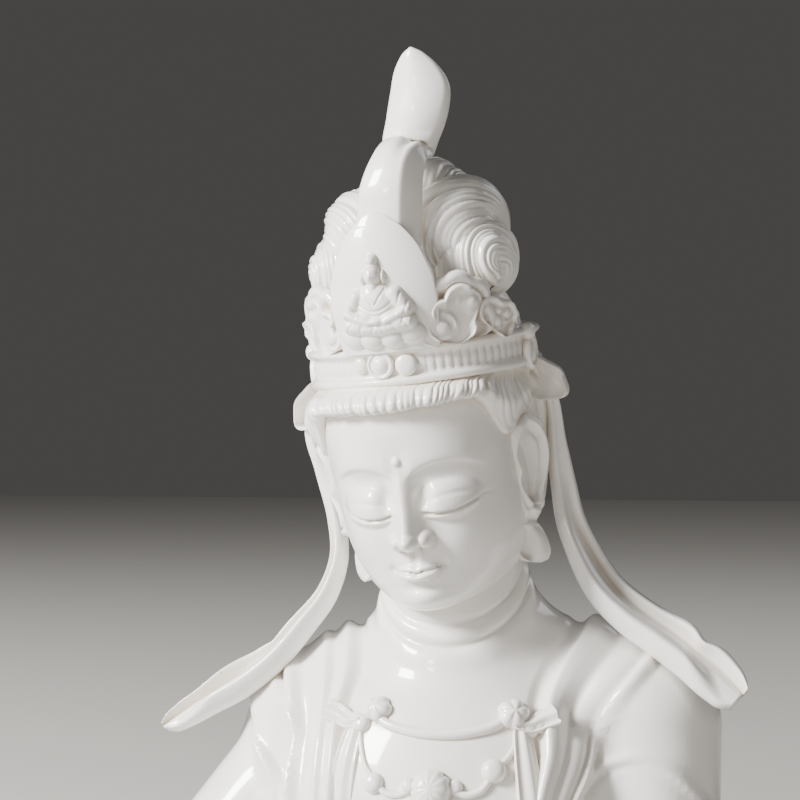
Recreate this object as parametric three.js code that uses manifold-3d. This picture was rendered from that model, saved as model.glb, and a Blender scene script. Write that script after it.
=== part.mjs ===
// A guanyin in white glazed porcelain, as a bust: head, crown, hair, falling ribbons, neck, chest and upper arms,
// cut off flat below. It is one fired piece, so every form below is joined into one solid.
// Millimetres. X is to the figure's left, Y to its back, Z up from the middle of the flat cut.
import * as THREE from "three";
import { mergeVertices } from "three/addons/utils/BufferGeometryUtils.js";
import Module from "manifold-3d";

const wasm = await Module();
wasm.setup();

const point = (x, y, z) => new THREE.Vector3(x, y, z);
const radians = THREE.MathUtils.degToRad;
const mix = THREE.MathUtils.lerp;
const smooth = THREE.MathUtils.smoothstep;
const BOTH_SIDES = [-1, 1];

// Where the head is held over the chest, and how it turns, leans and bows.
const headMiddle = point(-3, -15, 156);
const headTurn = -7;
const headLean = -5;
const headBow = 14;
// The crown sits on the hair, bowed less than the head.
const crownBow = 7;
const crownAboveHead = 45;
const crownBehindHead = 3;

// The face, by the sculptor's rule of three equal parts from hairline to chin.
const faceThird = 27;
const hairlineHeight = 31;
const browHeight = hairlineHeight - faceThird;
const noseBaseHeight = browHeight - faceThird;
const chinHeight = noseBaseHeight - faceThird;
const mouthHeight = noseBaseHeight - faceThird / 3;
const eyeHeight = browHeight - faceThird * 0.4;
const headHalfWidth = 39.5;
const faceDepth = 45.5;
const skullDepth = 42;
const eyeSpacing = 33;
const eyeWidth = 20;
const noseProjection = 10;
const mouthWidth = 20;

// The neck and the body under the robe.
const neckRadius = 28;
const leftShoulder = point(72, 6, 60);
const rightShoulder = point(-62, 6, 50);
const shoulderRadius = 25;
const leftElbow = point(80, -2, -30);
const rightElbow = point(-108, -12, -24);
const armRadius = 25.5;
const chestHalfWidth = 72;
const chestDepth = 50;

// The crown's band, plates and tall leaf.
const bandRadius = 44;
const bandHeight = 15;
const bandMiddle = -2.4;
const railWidth = 3.4;
const railProud = 1.6;
const plateThickness = 3.4;
const plaqueHeight = 57;
const plaqueHalfWidth = 20.5;
const plaqueTurn = 3;
const cloudHeight = 28;
const leafHeight = 117.5;
const leafHalfWidth = 12;
const leafThickness = 5;

// The ribbons that fall from the crown to the shoulders.
const ribbonThickness = 3;
const ribbonWidth = 12;
const ribbonEndWidth = 24;
const leftReach = 116;
const rightReach = 118;
const bowLength = 22;
const bowWall = 2.6;

// Jewels on the chest.
const necklaceRadius = 1.7;
const beadRadius = 4.2;
const rosetteRadius = 8;

// Hair and ears.
const hairThickness = 4;
const bunHeight = 75;
const bunHalfWidth = 41.5;
const bunAside = 3.8;
const maneThickness = 5;
const earLength = 60;
const earWidth = 18;

// Cloth of the robe.
const lapelHeight = 3.6;
const rollHeight = 5;

// Joining: a closed skin becomes a solid, facing out.
function solidOf(geometry) {
  const bare = geometry.index ? geometry.toNonIndexed() : geometry.clone();
  const open = new THREE.BufferGeometry().setAttribute("position", bare.getAttribute("position"));
  const merged = mergeVertices(open, 1e-4);
  const vertProperties = new Float32Array(merged.attributes.position.array);
  const triVerts = new Uint32Array(merged.index.array);
  let made = new wasm.Manifold(new wasm.Mesh({ numProp: 3, vertProperties, triVerts }));
  if (made.volume() < 0) {
    for (let i = 0; i < triVerts.length; i += 3)
      [triVerts[i + 1], triVerts[i + 2]] = [triVerts[i + 2], triVerts[i + 1]];
    made = new wasm.Manifold(new wasm.Mesh({ numProp: 3, vertProperties, triVerts }));
  }
  return made;
}

function united(solids) {
  return solids.reduce((all, next) => all.add(next));
}

// A pocket sealed in between two plates is filled, as clay fills it.
function withoutPockets(solid) {
  return wasm.Manifold.compose(solid.decompose().filter((part) => part.volume() > 0));
}

// A closed skin over a stack of rings with the same number of points, each end drawn in to a middle point. Each
// four-sided face is split across its shorter way, so that what is the same on both sides stays the same.
function skinOver(rings, firstMiddle, lastMiddle) {
  const around = rings[0].length;
  const points = rings.flat();
  const middleOf = (ring) => ring.reduce((sum, p) => sum.add(p), point(0, 0, 0)).divideScalar(around);
  const first = points.push(firstMiddle ?? middleOf(rings[0])) - 1;
  const last = points.push(lastMiddle ?? middleOf(rings.at(-1))) - 1;
  const faces = [];
  for (let j = 0; j < around; j++) {
    const next = (j + 1) % around;
    faces.push(first, next, j);
    const top = (rings.length - 1) * around;
    faces.push(last, top + j, top + next);
    for (let i = 0; i + 1 < rings.length; i++) {
      const [a, b] = [i * around + j, i * around + next];
      const [c, d] = [b + around, a + around];
      const short = points[a].distanceTo(points[c]) <= points[b].distanceTo(points[d]);
      faces.push(...(short ? [a, b, c, a, c, d] : [a, b, d, b, c, d]));
    }
  }
  const geometry = new THREE.BufferGeometry().setFromPoints(points);
  geometry.setIndex(faces);
  return solidOf(geometry);
}

// A sphere drawn out to three radii, set at a place in a frame.
function ball(frame, place, radii, across = 12, up = 8) {
  const geometry = new THREE.SphereGeometry(1, across, up);
  geometry.scale(radii.x, radii.y, radii.z).translate(place.x, place.y, place.z).applyMatrix4(frame);
  return solidOf(geometry);
}

const bead = (place, radius) => ball(new THREE.Matrix4(), place, point(radius, radius, radius), 6, 3);

// A smooth line through a few values, given as [where, value] pairs.
function smoothLine(pairs, where) {
  const last = pairs.length - 1;
  if (where <= pairs[0][0]) return pairs[0][1];
  if (where >= pairs[last][0]) return pairs[last][1];
  const k = pairs.findIndex(([place]) => place > where) - 1;
  const [[x0, y0], [x1, y1]] = [pairs[k], pairs[k + 1]];
  const slope = (i, j) => (pairs[j][1] - pairs[i][1]) / (pairs[j][0] - pairs[i][0]);
  const m0 = k > 0 ? slope(k - 1, k + 1) : slope(0, 1);
  const m1 = k + 2 <= last ? slope(k, k + 2) : slope(k, k + 1);
  const [w, t] = [x1 - x0, (where - x0) / (x1 - x0)];
  return (
    y0 * (1 + 2 * t) * (1 - t) ** 2 + m0 * w * t * (1 - t) ** 2 + y1 * t * t * (3 - 2 * t) + m1 * w * t * t * (t - 1)
  );
}

const bump = (x, z, middleX, middleZ, reachX, reachZ) =>
  Math.exp(-(((x - middleX) / reachX) ** 2) - ((z - middleZ) / reachZ) ** 2);

// Frames: the head's and the crown's own axes, placed over the chest.
function poseOf(bow) {
  const turn = new THREE.Matrix4().makeRotationZ(radians(headTurn));
  const lean = new THREE.Matrix4().makeRotationY(radians(headLean));
  return turn.multiply(lean).multiply(new THREE.Matrix4().makeRotationX(radians(bow)));
}
const headFrame = poseOf(headBow).setPosition(headMiddle);
const crownMiddle = point(0, crownBehindHead, crownAboveHead).applyMatrix4(headFrame);
const crownFrame = poseOf(crownBow).setPosition(crownMiddle);

// Forms as fields: below nought inside, above nought outside, in about millimetres.
function cone(p, from, to, radiusFrom, radiusTo) {
  const along = to.clone().sub(from);
  const share = THREE.MathUtils.clamp(p.clone().sub(from).dot(along) / along.lengthSq(), 0, 1);
  return p.distanceTo(from.clone().addScaledVector(along, share)) - mix(radiusFrom, radiusTo, share);
}
function egg(p, middle, radii) {
  const q = p.clone().sub(middle).divide(radii);
  return (q.length() - 1) * Math.min(radii.x, radii.y, radii.z);
}
function blend(a, b, reach) {
  const h = Math.max(reach - Math.abs(a - b), 0) / reach;
  return Math.min(a, b) - (h * h * reach) / 4;
}
const neckFoot = point(3, 3, 74);
const neckHead = point(0, -9, 124);
const chestMiddle = point(0, -4, 6);
const backMiddle = point(0, 12, 18);
const yokeMiddle = point(0, 8, 84);
function bodyField(p) {
  const chest = egg(p, chestMiddle, point(chestHalfWidth, chestDepth, 80));
  const back = egg(p, backMiddle, point(chestHalfWidth + 2, chestDepth - 6, 78));
  const neck = cone(p, neckFoot, neckHead, neckRadius + 2, neckRadius);
  const yoke = [leftShoulder, rightShoulder].map((shoulder) =>
    cone(p, yokeMiddle, shoulder, shoulderRadius - 6, shoulderRadius),
  );
  const arms = [
    cone(p, leftShoulder.clone().add(point(6, 0, -8)), leftElbow, armRadius + 2, armRadius),
    cone(p, rightShoulder.clone().add(point(0, 0, -10)), rightElbow, armRadius - 1, armRadius),
  ];
  const trunk = blend(blend(chest, back, 14), blend(yoke[0], yoke[1], 10), 12);
  return blend(blend(blend(trunk, arms[0], 9), arms[1], 9), neck, 16);
}
const headInverse = headFrame.clone().invert();
const bodyAndHeadField = (p) => {
  const skull = egg(p.clone().applyMatrix4(headInverse), point(0, 1, 12), point(headHalfWidth, skullDepth, 50));
  return blend(bodyField(p), skull, 12);
};
function outwards(p, field) {
  const step = 0.5;
  const slope = (...way) => field(p.clone().add(point(...way))) - field(p.clone().sub(point(...way)));
  return point(slope(step, 0, 0), slope(0, step, 0), slope(0, 0, step)).normalize();
}
function onto(p, field) {
  const q = p.clone();
  for (let i = 0; i < 8; i++) q.addScaledVector(outwards(q, field), -field(q));
  return q;
}

function body() {
  const around = 28;
  const heights = [0, 17, 33, 46, 56, 64, 71, 77, 82, 87, 93, 101, 116];
  const rings = heights.map((z) => {
    const share = THREE.MathUtils.clamp((z - 60) / 50, 0, 1);
    const axis = point(0, mix(2, -4, share), z);
    return Array.from({ length: around }, (_, j) => {
      const angle = (2 * Math.PI * j) / around;
      const away = point(Math.cos(angle), Math.sin(angle), 0);
      let [near, far] = [0, 190];
      for (let k = 0; k < 26; k++) {
        const middle = (near + far) / 2;
        if (bodyField(axis.clone().addScaledVector(away, middle)) < 0) near = middle;
        else far = middle;
      }
      return axis.clone().addScaledVector(away, near);
    });
  });
  return skinOver(rings);
}

// The head: rings from under the chin to the crown of the skull, with the face raised on their front.
// Widths and depths are shares of the head's own, by height in shares of the chin's distance from the middle.
const headWidths = [[-1.04, 0.22], [-1.01, 0.4], [-0.94, 0.6], [-0.84, 0.745], [-0.66, 0.875], [-0.48, 0.945],
  [-0.24, 0.985], [0, 1], [0.24, 1.01], [0.5, 0.99], [0.72, 0.95], [0.96, 0.84], [1.2, 0.6], [1.32, 0.2]];
const headFronts = [[-1.04, 0.7], [-1.01, 0.84], [-0.94, 0.93], [-0.84, 0.965], [-0.66, 0.985], [-0.48, 1],
  [-0.24, 1], [0, 1], [0.24, 1.02], [0.5, 1.01], [0.72, 0.95], [0.96, 0.81], [1.2, 0.55], [1.32, 0.2]];
const headBacks = [[-1.04, -0.3], [-0.94, 0.02], [-0.66, 0.4], [-0.24, 0.78], [0.24, 1], [0.72, 0.98],
  [0.96, 0.88], [1.2, 0.6], [1.32, 0.2]];
const roundness = 0.88;

function faceRelief(x, z) {
  const side = Math.abs(x);
  const eyeX = eyeSpacing / 2;
  const noseTip = noseBaseHeight + 4.5;
  const bridge = browHeight - 2;
  const along = THREE.MathUtils.clamp((bridge - z) / (bridge - noseTip), 0, 1);
  const under = smooth(z, noseBaseHeight - 1.5, noseTip - 0.5);
  const nose = noseProjection * along ** 1.15 * under * Math.exp(-((side / mix(3, 4.6, along)) ** 2));
  const nostril = 0.4 * noseProjection * bump(side, z, 6, noseBaseHeight + 3.2, 2.6, 3);
  const across = (side - eyeX) / (eyeWidth / 2);
  const high = z - eyeHeight;
  const dome = Math.max(0, 1 - across ** 2 - (high / 7) ** 2) ** 0.75;
  const lid = dome * mix(1.8, 3.6, smooth(high, -4.5, -1.5));
  const innerCorner = 2 * bump(side, z, eyeX - 8, browHeight - 6, 4.5, 6);
  const socket = innerCorner + 1.2 * bump(side, z, eyeX, eyeHeight + 8, 10, 3);
  const brow = 0.8 * bump(side, z, eyeX, browHeight + 4, 11, 4);
  const lips =
    2.3 * bump(side, z, 0, mouthHeight + 2.1, mouthWidth * 0.38, 2) +
    2.7 * bump(side, z, 0, mouthHeight - 2.7, mouthWidth * 0.32, 2.4);
  const chin = 2.6 * bump(side, z, 0, chinHeight + 6.5, 10, 6) - bump(side, z, 0, mouthHeight - 7, 8, 2);
  const cheek = 1.2 * bump(side, z, 21, noseBaseHeight + 1, 10, 11);
  return nose + nostril + lid - socket + brow + lips + chin + cheek;
}

function head() {
  const skullTop = crownAboveHead + 20;
  const heights = [
    ...[-2, -0.5, 3, 7, 10.5].map((z) => chinHeight + z),
    ...[-5.5, -3, -0.6, 2, 4.6].map((z) => mouthHeight + z),
    ...[-1.2, 1.8, 4.5, 7.5].map((z) => noseBaseHeight + z),
    ...[-6, -3, 0, 3, 6.2].map((z) => eyeHeight + z),
    ...[0.5, 5].map((z) => browHeight + z),
    hairlineHeight - 13, hairlineHeight, skullTop,
  ];
  const half = [4, 8, 12.5, 18, 24, 30, 38, 50, 72, 120];
  const angles = [0, ...half, 180, ...half.toReversed().map((degrees) => 360 - degrees)];
  const rings = heights.map((z) => {
    const share = z / -chinHeight;
    const wide = headHalfWidth * smoothLine(headWidths, share);
    const front = faceDepth * smoothLine(headFronts, share);
    const back = skullDepth * smoothLine(headBacks, share);
    return angles.map((degrees) => {
      const [s, c] = [Math.sin(radians(degrees)), Math.cos(radians(degrees))];
      const x = wide * Math.sign(s) * Math.abs(s) ** roundness;
      const y = (c > 0 ? -front : back) * Math.abs(c) ** roundness;
      return point(x, y - smooth(c, 0.3, 0.66) * faceRelief(x, z), z).applyMatrix4(headFrame);
    });
  });
  return skinOver(rings);
}

// The hair over the brow: a roll that starts at the hairline and runs up inside the crown. The hairline is
// nearly level over the brow, falls at the temples and runs behind the ears to the nape.
const hairlines = [[0, 1], [25, 1], [42, 0.96], [56, 0.86], [64, 0.7], [71, 0.46], [79, 0.2], [88, -0.05], [96, -0.35],
  [125, -0.95], [180, -1.15]];
function hairCap() {
  const around = 32;
  const steps = [[0, -1.4], [0.05, 0.7], [0.32, 1.15], [1, 0.7]];
  const rings = steps.map(([rise, proud]) =>
    Array.from({ length: around }, (_, j) => {
      const degrees = (360 * j) / around;
      const low = hairlineHeight * smoothLine(hairlines, Math.min(degrees, 360 - degrees));
      const z = mix(low, crownAboveHead + 4, rise);
      const share = z / -chinHeight;
      const out = hairThickness * proud;
      const [s, c] = [Math.sin(radians(degrees)), Math.cos(radians(degrees))];
      const wide = headHalfWidth * smoothLine(headWidths, share) + out;
      const deep = (c > 0 ? faceDepth * smoothLine(headFronts, share) : skullDepth * smoothLine(headBacks, share)) + out;
      return point(
        wide * Math.sign(s) * Math.abs(s) ** roundness,
        -deep * Math.sign(c) * Math.abs(c) ** roundness,
        z,
      ).applyMatrix4(headFrame);
    }),
  );
  return skinOver(rings);
}

// The bun: a great roll of hair from side to side behind the plaque, which steps down in swellings. Places and radii
// are shares of the bun's half width across, of the band's radius from front to back and of the bun's height.
const bunLobes = [
  { across: 0, back: 0.04, up: 0.587, radii: [0.6, 0.6, 0.413] },
  { across: 0.4, back: -0.07, up: 0.62, radii: [0.458, 0.6, 0.26] },
  { across: 0.626, back: -0.25, up: 0.447, radii: [0.373, 0.39, 0.207] },
];
function bun() {
  const lobeAt = ({ across, back, up, radii: [wide, deep, high] }, side) =>
    ball(
      crownFrame,
      point(bunAside + side * across * bunHalfWidth, back * bandRadius, up * bunHeight),
      point(wide * bunHalfWidth, deep * bandRadius, high * bunHeight),
      10,
      6,
    );
  const [middleLobe, ...sideLobes] = bunLobes;
  return united([lobeAt(middleLobe, 1), ...BOTH_SIDES.flatMap((side) => sideLobes.map((lobe) => lobeAt(lobe, side)))]);
}

function hairUnderBun() {
  const inside = bandRadius - 3;
  return united([
    ball(crownFrame, point(0, 1, 2), point(inside, inside, bandHeight + 14), 14, 6),
    ball(crownFrame, point(0, 12, 0.36 * bunHeight), point(0.8 * inside, 0.62 * inside, 0.4 * bunHeight), 10, 6),
  ]);
}

// The hair on the nape: locks side by side, on the neck and the back, that thin out to their tips.
function mane() {
  const way = [point(0, 40, 146), point(0, 40, 128), point(1, 36, 108), point(2, 50, 84), point(2, 60, 58)];
  const wide = [[0, 37], [0.25, 30], [0.5, 26], [0.8, 31], [1, 25]];
  const locks = 5;
  const across = Array.from({ length: 2 * locks + 1 }, (_, j) => {
    const w = j / locks - 1;
    const edge = j === 0 || j === 2 * locks;
    const [ridge, valley] = [(t) => 1 - 0.5 * t * t, (t) => 0.4 - 0.9 * t ** 4];
    const risen = (t) => mix(0.2, 1, smooth(t, 0, 0.3));
    return (t) => [w, maneThickness * (edge ? -5 : risen(t) * (j % 2 ? ridge(t) : valley(t)))];
  });
  return laid(way, (t) => smoothLine(wide, t), across, 6, bodyAndHeadField);
}

// Crown: a place on its drum, by degrees from the front towards the figure's left, height over the crown's middle
// and distance out from the band.
function onCrown(degrees, height, out) {
  const flare = 0.06 * Math.max(height, 0);
  const radius = bandRadius + flare + out;
  return point(radius * Math.sin(radians(degrees)), -radius * Math.cos(radians(degrees)), height).applyMatrix4(crownFrame);
}
const degreesPerMillimetre = 180 / (Math.PI * bandRadius);
const plateFoot = bandMiddle + bandHeight / 2 - 2;

function band() {
  const half = bandHeight / 2;
  const profile = [[0, -half], [bandRadius + 0.4, -half], [bandRadius + railProud, -half + railWidth / 2],
    [bandRadius, -half + railWidth], [bandRadius, half - railWidth], [bandRadius + railProud, half - railWidth / 2],
    [bandRadius + 0.4, half], [0, half]];
  const lathe = new THREE.LatheGeometry(profile.map(([r, z]) => new THREE.Vector2(r, z)), 24);
  return solidOf(lathe.rotateX(Math.PI / 2).translate(0, 0, bandMiddle).applyMatrix4(crownFrame));
}

// A cloud-shaped plate that stands on the band: its upper edge runs in lobes, its faces are a little pillowed.
function cloud(middleDegrees, halfWidth, height, lobes, out, steps) {
  const outline = [[-1, 0], [1, 0]];
  const count = lobes * steps;
  for (let i = 1; i < count; i++) {
    const angle = (Math.PI * i) / count;
    const reach = 0.9 + 0.1 * Math.abs(Math.sin(lobes * angle));
    outline.push([1.1 * reach * Math.cos(angle), 1.04 * reach * Math.sin(angle) ** 0.6]);
  }
  const at = ([across, up], share, face) =>
    onCrown(
      middleDegrees + share * across * halfWidth * degreesPerMillimetre,
      mix(plateFoot + height * 0.35, plateFoot + height * up, share),
      out + face * plateThickness,
    );
  const rings = [[1, -0.5], [0.9, 0.4]].map(([share, face]) => outline.map((place) => at(place, share, face)));
  return skinOver(rings, at([0, 0], 0, -0.5), at([0, 0], 0, 0.8));
}

// The plaque: a smooth shield with a pointed round top, which swells forward and leans back to the tall leaf.
const plaqueWidths = [[0, 0.97], [0.3, 1], [0.534, 0.96], [0.763, 0.75], [0.88, 0.52], [0.96, 0.25], [1, 0.04]];
function plaque() {
  const [steps, around] = [9, 10];
  const rings = Array.from({ length: steps + 1 }, (_, i) => {
    const rise = 1 - (1 - i / steps) ** 1.3;
    const height = mix(plateFoot, plaqueHeight, rise);
    const half = plaqueHalfWidth * smoothLine(plaqueWidths, rise);
    const swell = 2.4 * Math.sin(Math.PI * Math.min(1, rise * 1.1)) - 4.6 * rise ** 3;
    return Array.from({ length: around }, (_, j) => {
      const angle = (2 * Math.PI * j) / around;
      const out = swell + (plateThickness / 2) * Math.sin(angle) - 1.2 * Math.cos(angle) ** 2;
      return onCrown(plaqueTurn + half * Math.cos(angle) * degreesPerMillimetre, height, out);
    });
  });
  return skinOver(rings);
}

// The small seated figure in relief on the plaque. Heights are shares of the plaque's, widths of its half width.
const seatedTurn = 1.5;
const seatedWidths = [[0.06, 0.72], [0.14, 0.8], [0.21, 0.7], [0.28, 0.4], [0.4, 0.52], [0.47, 0.3], [0.49, 0.14],
  [0.55, 0.19], [0.64, 0.17], [0.68, 0.1], [0.735, 0.03]];
const seatedDepths = [[0.06, 4], [0.16, 7.5], [0.25, 6], [0.37, 6], [0.45, 4.6], [0.49, 4], [0.57, 6.4], [0.65, 4.6],
  [0.7, 4.2], [0.735, 1]];
function seatedFigure() {
  const around = 7;
  const rings = seatedWidths.map(([rise, wide]) =>
    Array.from({ length: around }, (_, j) => {
      const angle = (2 * Math.PI * j) / around;
      const sideways = wide * plaqueHalfWidth * Math.cos(angle);
      const out = 1.2 + smoothLine(seatedDepths, rise) * Math.max(Math.sin(angle), -0.6);
      return onCrown(seatedTurn + sideways * degreesPerMillimetre, rise * plaqueHeight, out);
    }),
  );
  return skinOver(rings);
}

// The tall leaf: it rises behind the plaque, bends back over its top and stands up again to a point. Each place is
// its height and its way forward, as shares of the leaf's height and the band's radius, and its way to the left, as
// a share of the leaf's half width. Its right side is turned back below.
const leafPath = [[0.1, 0.75, 0.17], [0.3, 0.84, 0.29], [0.46, 0.865, 0.46], [0.56, 0.85, 0.63], [0.62, 0.795, 0.83],
  [0.665, 0.705, 1.08], [0.682, 0.59, 1.17], [0.668, 0.477, 1.1], [0.66, 0.386, 1], [0.706, 0.318, 0.93],
  [0.783, 0.295, 1.17], [0.868, 0.284, 1.33], [0.936, 0.307, 1.31], [1, 0.352, 1.27]];
const leafWidths = [[0, 0.92], [0.344, 1], [0.5, 0.97], [0.6, 0.93], [0.674, 1], [0.79, 1.05], [0.872, 1], [0.905, 0.89],
  [0.937, 0.72], [0.965, 0.5], [0.985, 0.29], [1, 0.04]];
function tallLeaf() {
  const curve = new THREE.CatmullRomCurve3(
    leafPath.map(([height, forward, aside]) => point(aside * leafHalfWidth, -forward * bandRadius, height * leafHeight)),
  );
  const around = 8;
  const stops = [0, 0.2, 0.38, 0.47, 0.53, 0.58, 0.62, 0.66, 0.7, 0.74, 0.8, 0.86, 0.91, 0.95, 0.98, 1];
  const rings = stops.map((share) => {
    const tangent = curve.getTangentAt(share);
    const facing = point(0, -tangent.z, tangent.y).normalize();
    const half = leafHalfWidth * smoothLine(leafWidths, share);
    const thick = leafThickness * Math.min(1, 0.3 + 2.8 * (1 - share));
    const lower = 1 - smooth(share, 0.56, 0.72);
    return Array.from({ length: around }, (_, j) => {
      const angle = (2 * Math.PI * j) / around;
      const arched = 3 * (1 - Math.cos(angle) ** 2) * (half / leafHalfWidth);
      const turnedBack = -4 * lower * smooth(share, 0.1, 0.3) * smooth(Math.cos(angle), 0.5, 1);
      return curve.getPointAt(share)
        .add(point(half * Math.cos(angle), 0, 0))
        .addScaledVector(facing, (thick / 2) * Math.sin(angle) + arched + turnedBack)
        .applyMatrix4(crownFrame);
    });
  });
  return skinOver(rings);
}

function crown() {
  const solids = [band(), plaque(), seatedFigure(), tallLeaf()];
  const bossOnBand = (degrees, radius) => bead(onCrown(degrees, bandMiddle + 1, railProud - 0.6), radius);
  for (const side of BOTH_SIDES) {
    solids.push(cloud(side * 37, 15, cloudHeight, 4, -0.8, 3));
    solids.push(cloud(side * 36.5, 10, cloudHeight - 5, 4, 1.7, 3));
    solids.push(cloud(side * 62, 9, cloudHeight - 11, 3, 0.2, 2));
    solids.push(cloud(side * 161, 13, cloudHeight - 13, 3, -0.4, 2));
    solids.push(bead(onCrown(side * 30, plateFoot + 7, plateThickness + 0.2), 3));
    solids.push(bead(onCrown(side * 84, bandMiddle - 2.6, railProud), bandHeight * 0.4));
  }
  solids.push(bossOnBand(-2.7, bandHeight * 0.31), bossOnBand(-14, bandHeight * 0.2), bossOnBand(10.3, bandHeight * 0.26));
  return united(solids);
}

// Ribbons: a strip with a pleated section swept along a smooth path, its broad side turned to face one way.
function strip(path, halfWidthAt, thickness, facingAt, foldAt, steps, across) {
  const curve = new THREE.CatmullRomCurve3(path, false, "centripetal");
  const rings = Array.from({ length: steps + 1 }, (_, i) => {
    const share = i / steps;
    const middle = curve.getPointAt(share);
    const sideways = curve.getTangentAt(share).cross(facingAt(share)).normalize();
    const facing = sideways.clone().cross(curve.getTangentAt(share)).normalize();
    const half = halfWidthAt(share);
    const at = (w, depth) =>
      middle.clone().addScaledVector(sideways, half * w).addScaledVector(facing, foldAt(share, w) - depth);
    const widths = Array.from({ length: across + 1 }, (_, j) => (2 * j) / across - 1);
    return [...widths.map((w) => at(w, 0)), ...widths.reverse().map((w) => at(w, thickness))];
  });
  return skinOver(rings);
}

// Each ribbon's places are its way out as a share of its reach, and its way back and up in millimetres.
const ribbonRoot = (side) => onCrown(side * 96, bandMiddle - bandHeight / 2, -1);
const ribbonPath = (side, reach, places) => [
  ribbonRoot(side),
  ...places.map(([out, back, up]) => point(side * out * reach, back, up)),
];
const leftRibbon = ribbonPath(1, leftReach, [[0.354, -14, 182], [0.366, -8, 162], [0.378, -4, 147], [0.403, -3, 132],
  [0.446, -4, 121], [0.534, -7, 106], [0.623, -9, 97], [0.728, -10, 89], [0.827, -11, 81], [0.914, -12, 73], [1, -13, 65]]);
const rightRibbon = ribbonPath(-1, rightReach, [[0.49, -9, 168], [0.463, -5, 152], [0.42, -4, 132], [0.408, -6, 118],
  [0.449, -8, 103], [0.527, -10, 91], [0.626, -12, 78], [0.735, -13, 68], [0.865, -14, 59], [1, -15, 48]]);
function ribbons() {
  const widths = [[0, 0.5], [0.15, 0.75], [0.4, 0.9], [0.55, 1.25], [0.7, 1.7], [0.85, 1.9], [0.95, 1.7], [1, 1.1]];
  const wider = ribbonEndWidth / (1.9 * ribbonWidth);
  const half = (t) => (ribbonWidth / 2) * smoothLine(widths, t) * mix(1, wider, t);
  const pleat = (t, w) => 3.2 * Math.sqrt(t) * Math.cos(4.2 * w + 0.6) * Math.min(1, 0.4 + t);
  const facing = (side) => (t) => point(side * mix(0.5, 0.28, t), -1, mix(0.1, 1.1, t));
  return united([
    strip(leftRibbon, half, ribbonThickness, facing(1), pleat, 13, 4),
    strip(rightRibbon, (t) => half(t) * 0.8, ribbonThickness, facing(-1), (t, w) => pleat(t, -w), 13, 4),
  ]);
}

// The bow over each ear: one puffed loop of ribbon that hangs out from the crown's side like a shell, open to the
// front.
function bows() {
  return united(
    BOTH_SIDES.map((side) => {
      const lean = new THREE.Matrix4().makeRotationY(side * radians(45));
      const middle = onCrown(side * 84, bandMiddle - bandHeight / 2 - 3, 3.5);
      const frame = crownFrame.clone().multiply(lean).setPosition(middle);
      const puff = point(bowLength / 2, bowLength / 3, bowLength / 3);
      const hollow = puff.clone().subScalar(bowWall);
      const shell = ball(frame, point(0, 7, 0), puff, 10, 6);
      return shell.subtract(ball(frame, point(-side * bowWall, 7 - puff.y * 0.75, 0), hollow, 8, 5));
    }),
  );
}

// The ears, with long lobes: a leaf of clay along the side of the head, flared at its foot.
const earOutline = [[0, 0.3], [0.12, 0.95], [0.35, 1], [0.58, 0.72], [0.72, 0.45], [0.86, 0.72], [0.96, 0.62], [1, 0.25]];
const earOuts = [[0, 2], [0.2, 3.5], [0.4, 2.5], [0.6, -0.5], [0.75, -4.5], [0.9, -6.5], [1, -8]];
function ears() {
  return united(
    BOTH_SIDES.map((side) => {
      const [steps, around] = [8, 7];
      const top = earLength * 0.29;
      const rings = Array.from({ length: steps + 1 }, (_, i) => {
        const t = i / steps;
        const middle = point(side * (headHalfWidth + smoothLine(earOuts, t)), mix(-1, -5, t), top - earLength * t);
        const half = (earWidth / 2) * smoothLine(earOutline, t);
        return Array.from({ length: around }, (_, j) => {
          const angle = (2 * Math.PI * j) / around;
          const outX = side * (3 * Math.sin(angle) + 0.35 * half * Math.cos(angle));
          return middle.clone().add(point(outX, half * Math.cos(angle), 0)).applyMatrix4(headFrame);
        });
      });
      return skinOver(rings);
    }),
  );
}

// Cloth, hair and cords that lie on the body: a strip whose section, given as [across, out] points, follows it
// along a path of points near it.
function laid(path, halfWidthAt, section, steps, field = bodyField) {
  const curve = new THREE.CatmullRomCurve3(path.map((p) => onto(p, field)), false, "centripetal");
  const rings = Array.from({ length: steps + 1 }, (_, i) => {
    const share = i / steps;
    const middle = onto(curve.getPointAt(share), field);
    const sideways = curve.getTangentAt(share).cross(outwards(middle, field)).normalize();
    return section.map((place) => {
      const [w, out] = typeof place === "function" ? place(share) : place;
      const foot = onto(middle.clone().addScaledVector(sideways, halfWidthAt(share) * w), field);
      return foot.addScaledVector(outwards(foot, field), out);
    });
  });
  return skinOver(rings);
}

// The robe lies open on the chest. On each side a pleated lapel comes over the shoulder and falls to the cut, with
// a broad roll of cloth outside it. A sleeve's edge crosses the left arm.
const lapelSection = [[-1, -2.5], [-0.93, 1], [-0.72, 0.35], [-0.5, 0.95], [-0.24, 0.3], [0.06, 1], [0.4, 0.35],
  [0.72, 1.05], [1, -2.5]];
const rollSection = [[-1, -2.5], [-0.7, 0.8], [0.4, 1], [1, -2.5]];
const raised = (section, height) => section.map(([w, out]) => [w, out > 0 ? out * height : out]);
const lapels = [
  [point(47, 30, 88), point(52, 2, 90), point(50, -26, 72), point(42, -42, 48), point(39, -48, 20), point(40, -50, -8)],
  [point(-44, 30, 82), point(-48, 2, 86), point(-49, -26, 68), point(-49, -38, 48), point(-51, -42, 22), point(-53, -44, -8)],
];
const rolls = [
  [point(72, 26, 76), point(78, 0, 80), point(72, -24, 58), point(63, -36, 30), point(58, -42, 8), point(56, -44, -8)],
  [point(-64, 28, 68), point(-70, 2, 72), point(-73, -22, 52), point(-74, -32, 34), point(-74, -36, 14), point(-74, -38, -8)],
];
const sleeveEdge = [point(60, -42, 22), point(70, -40, 33), point(84, -34, 35), point(98, -20, 26), point(108, 0, 18)];
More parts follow.
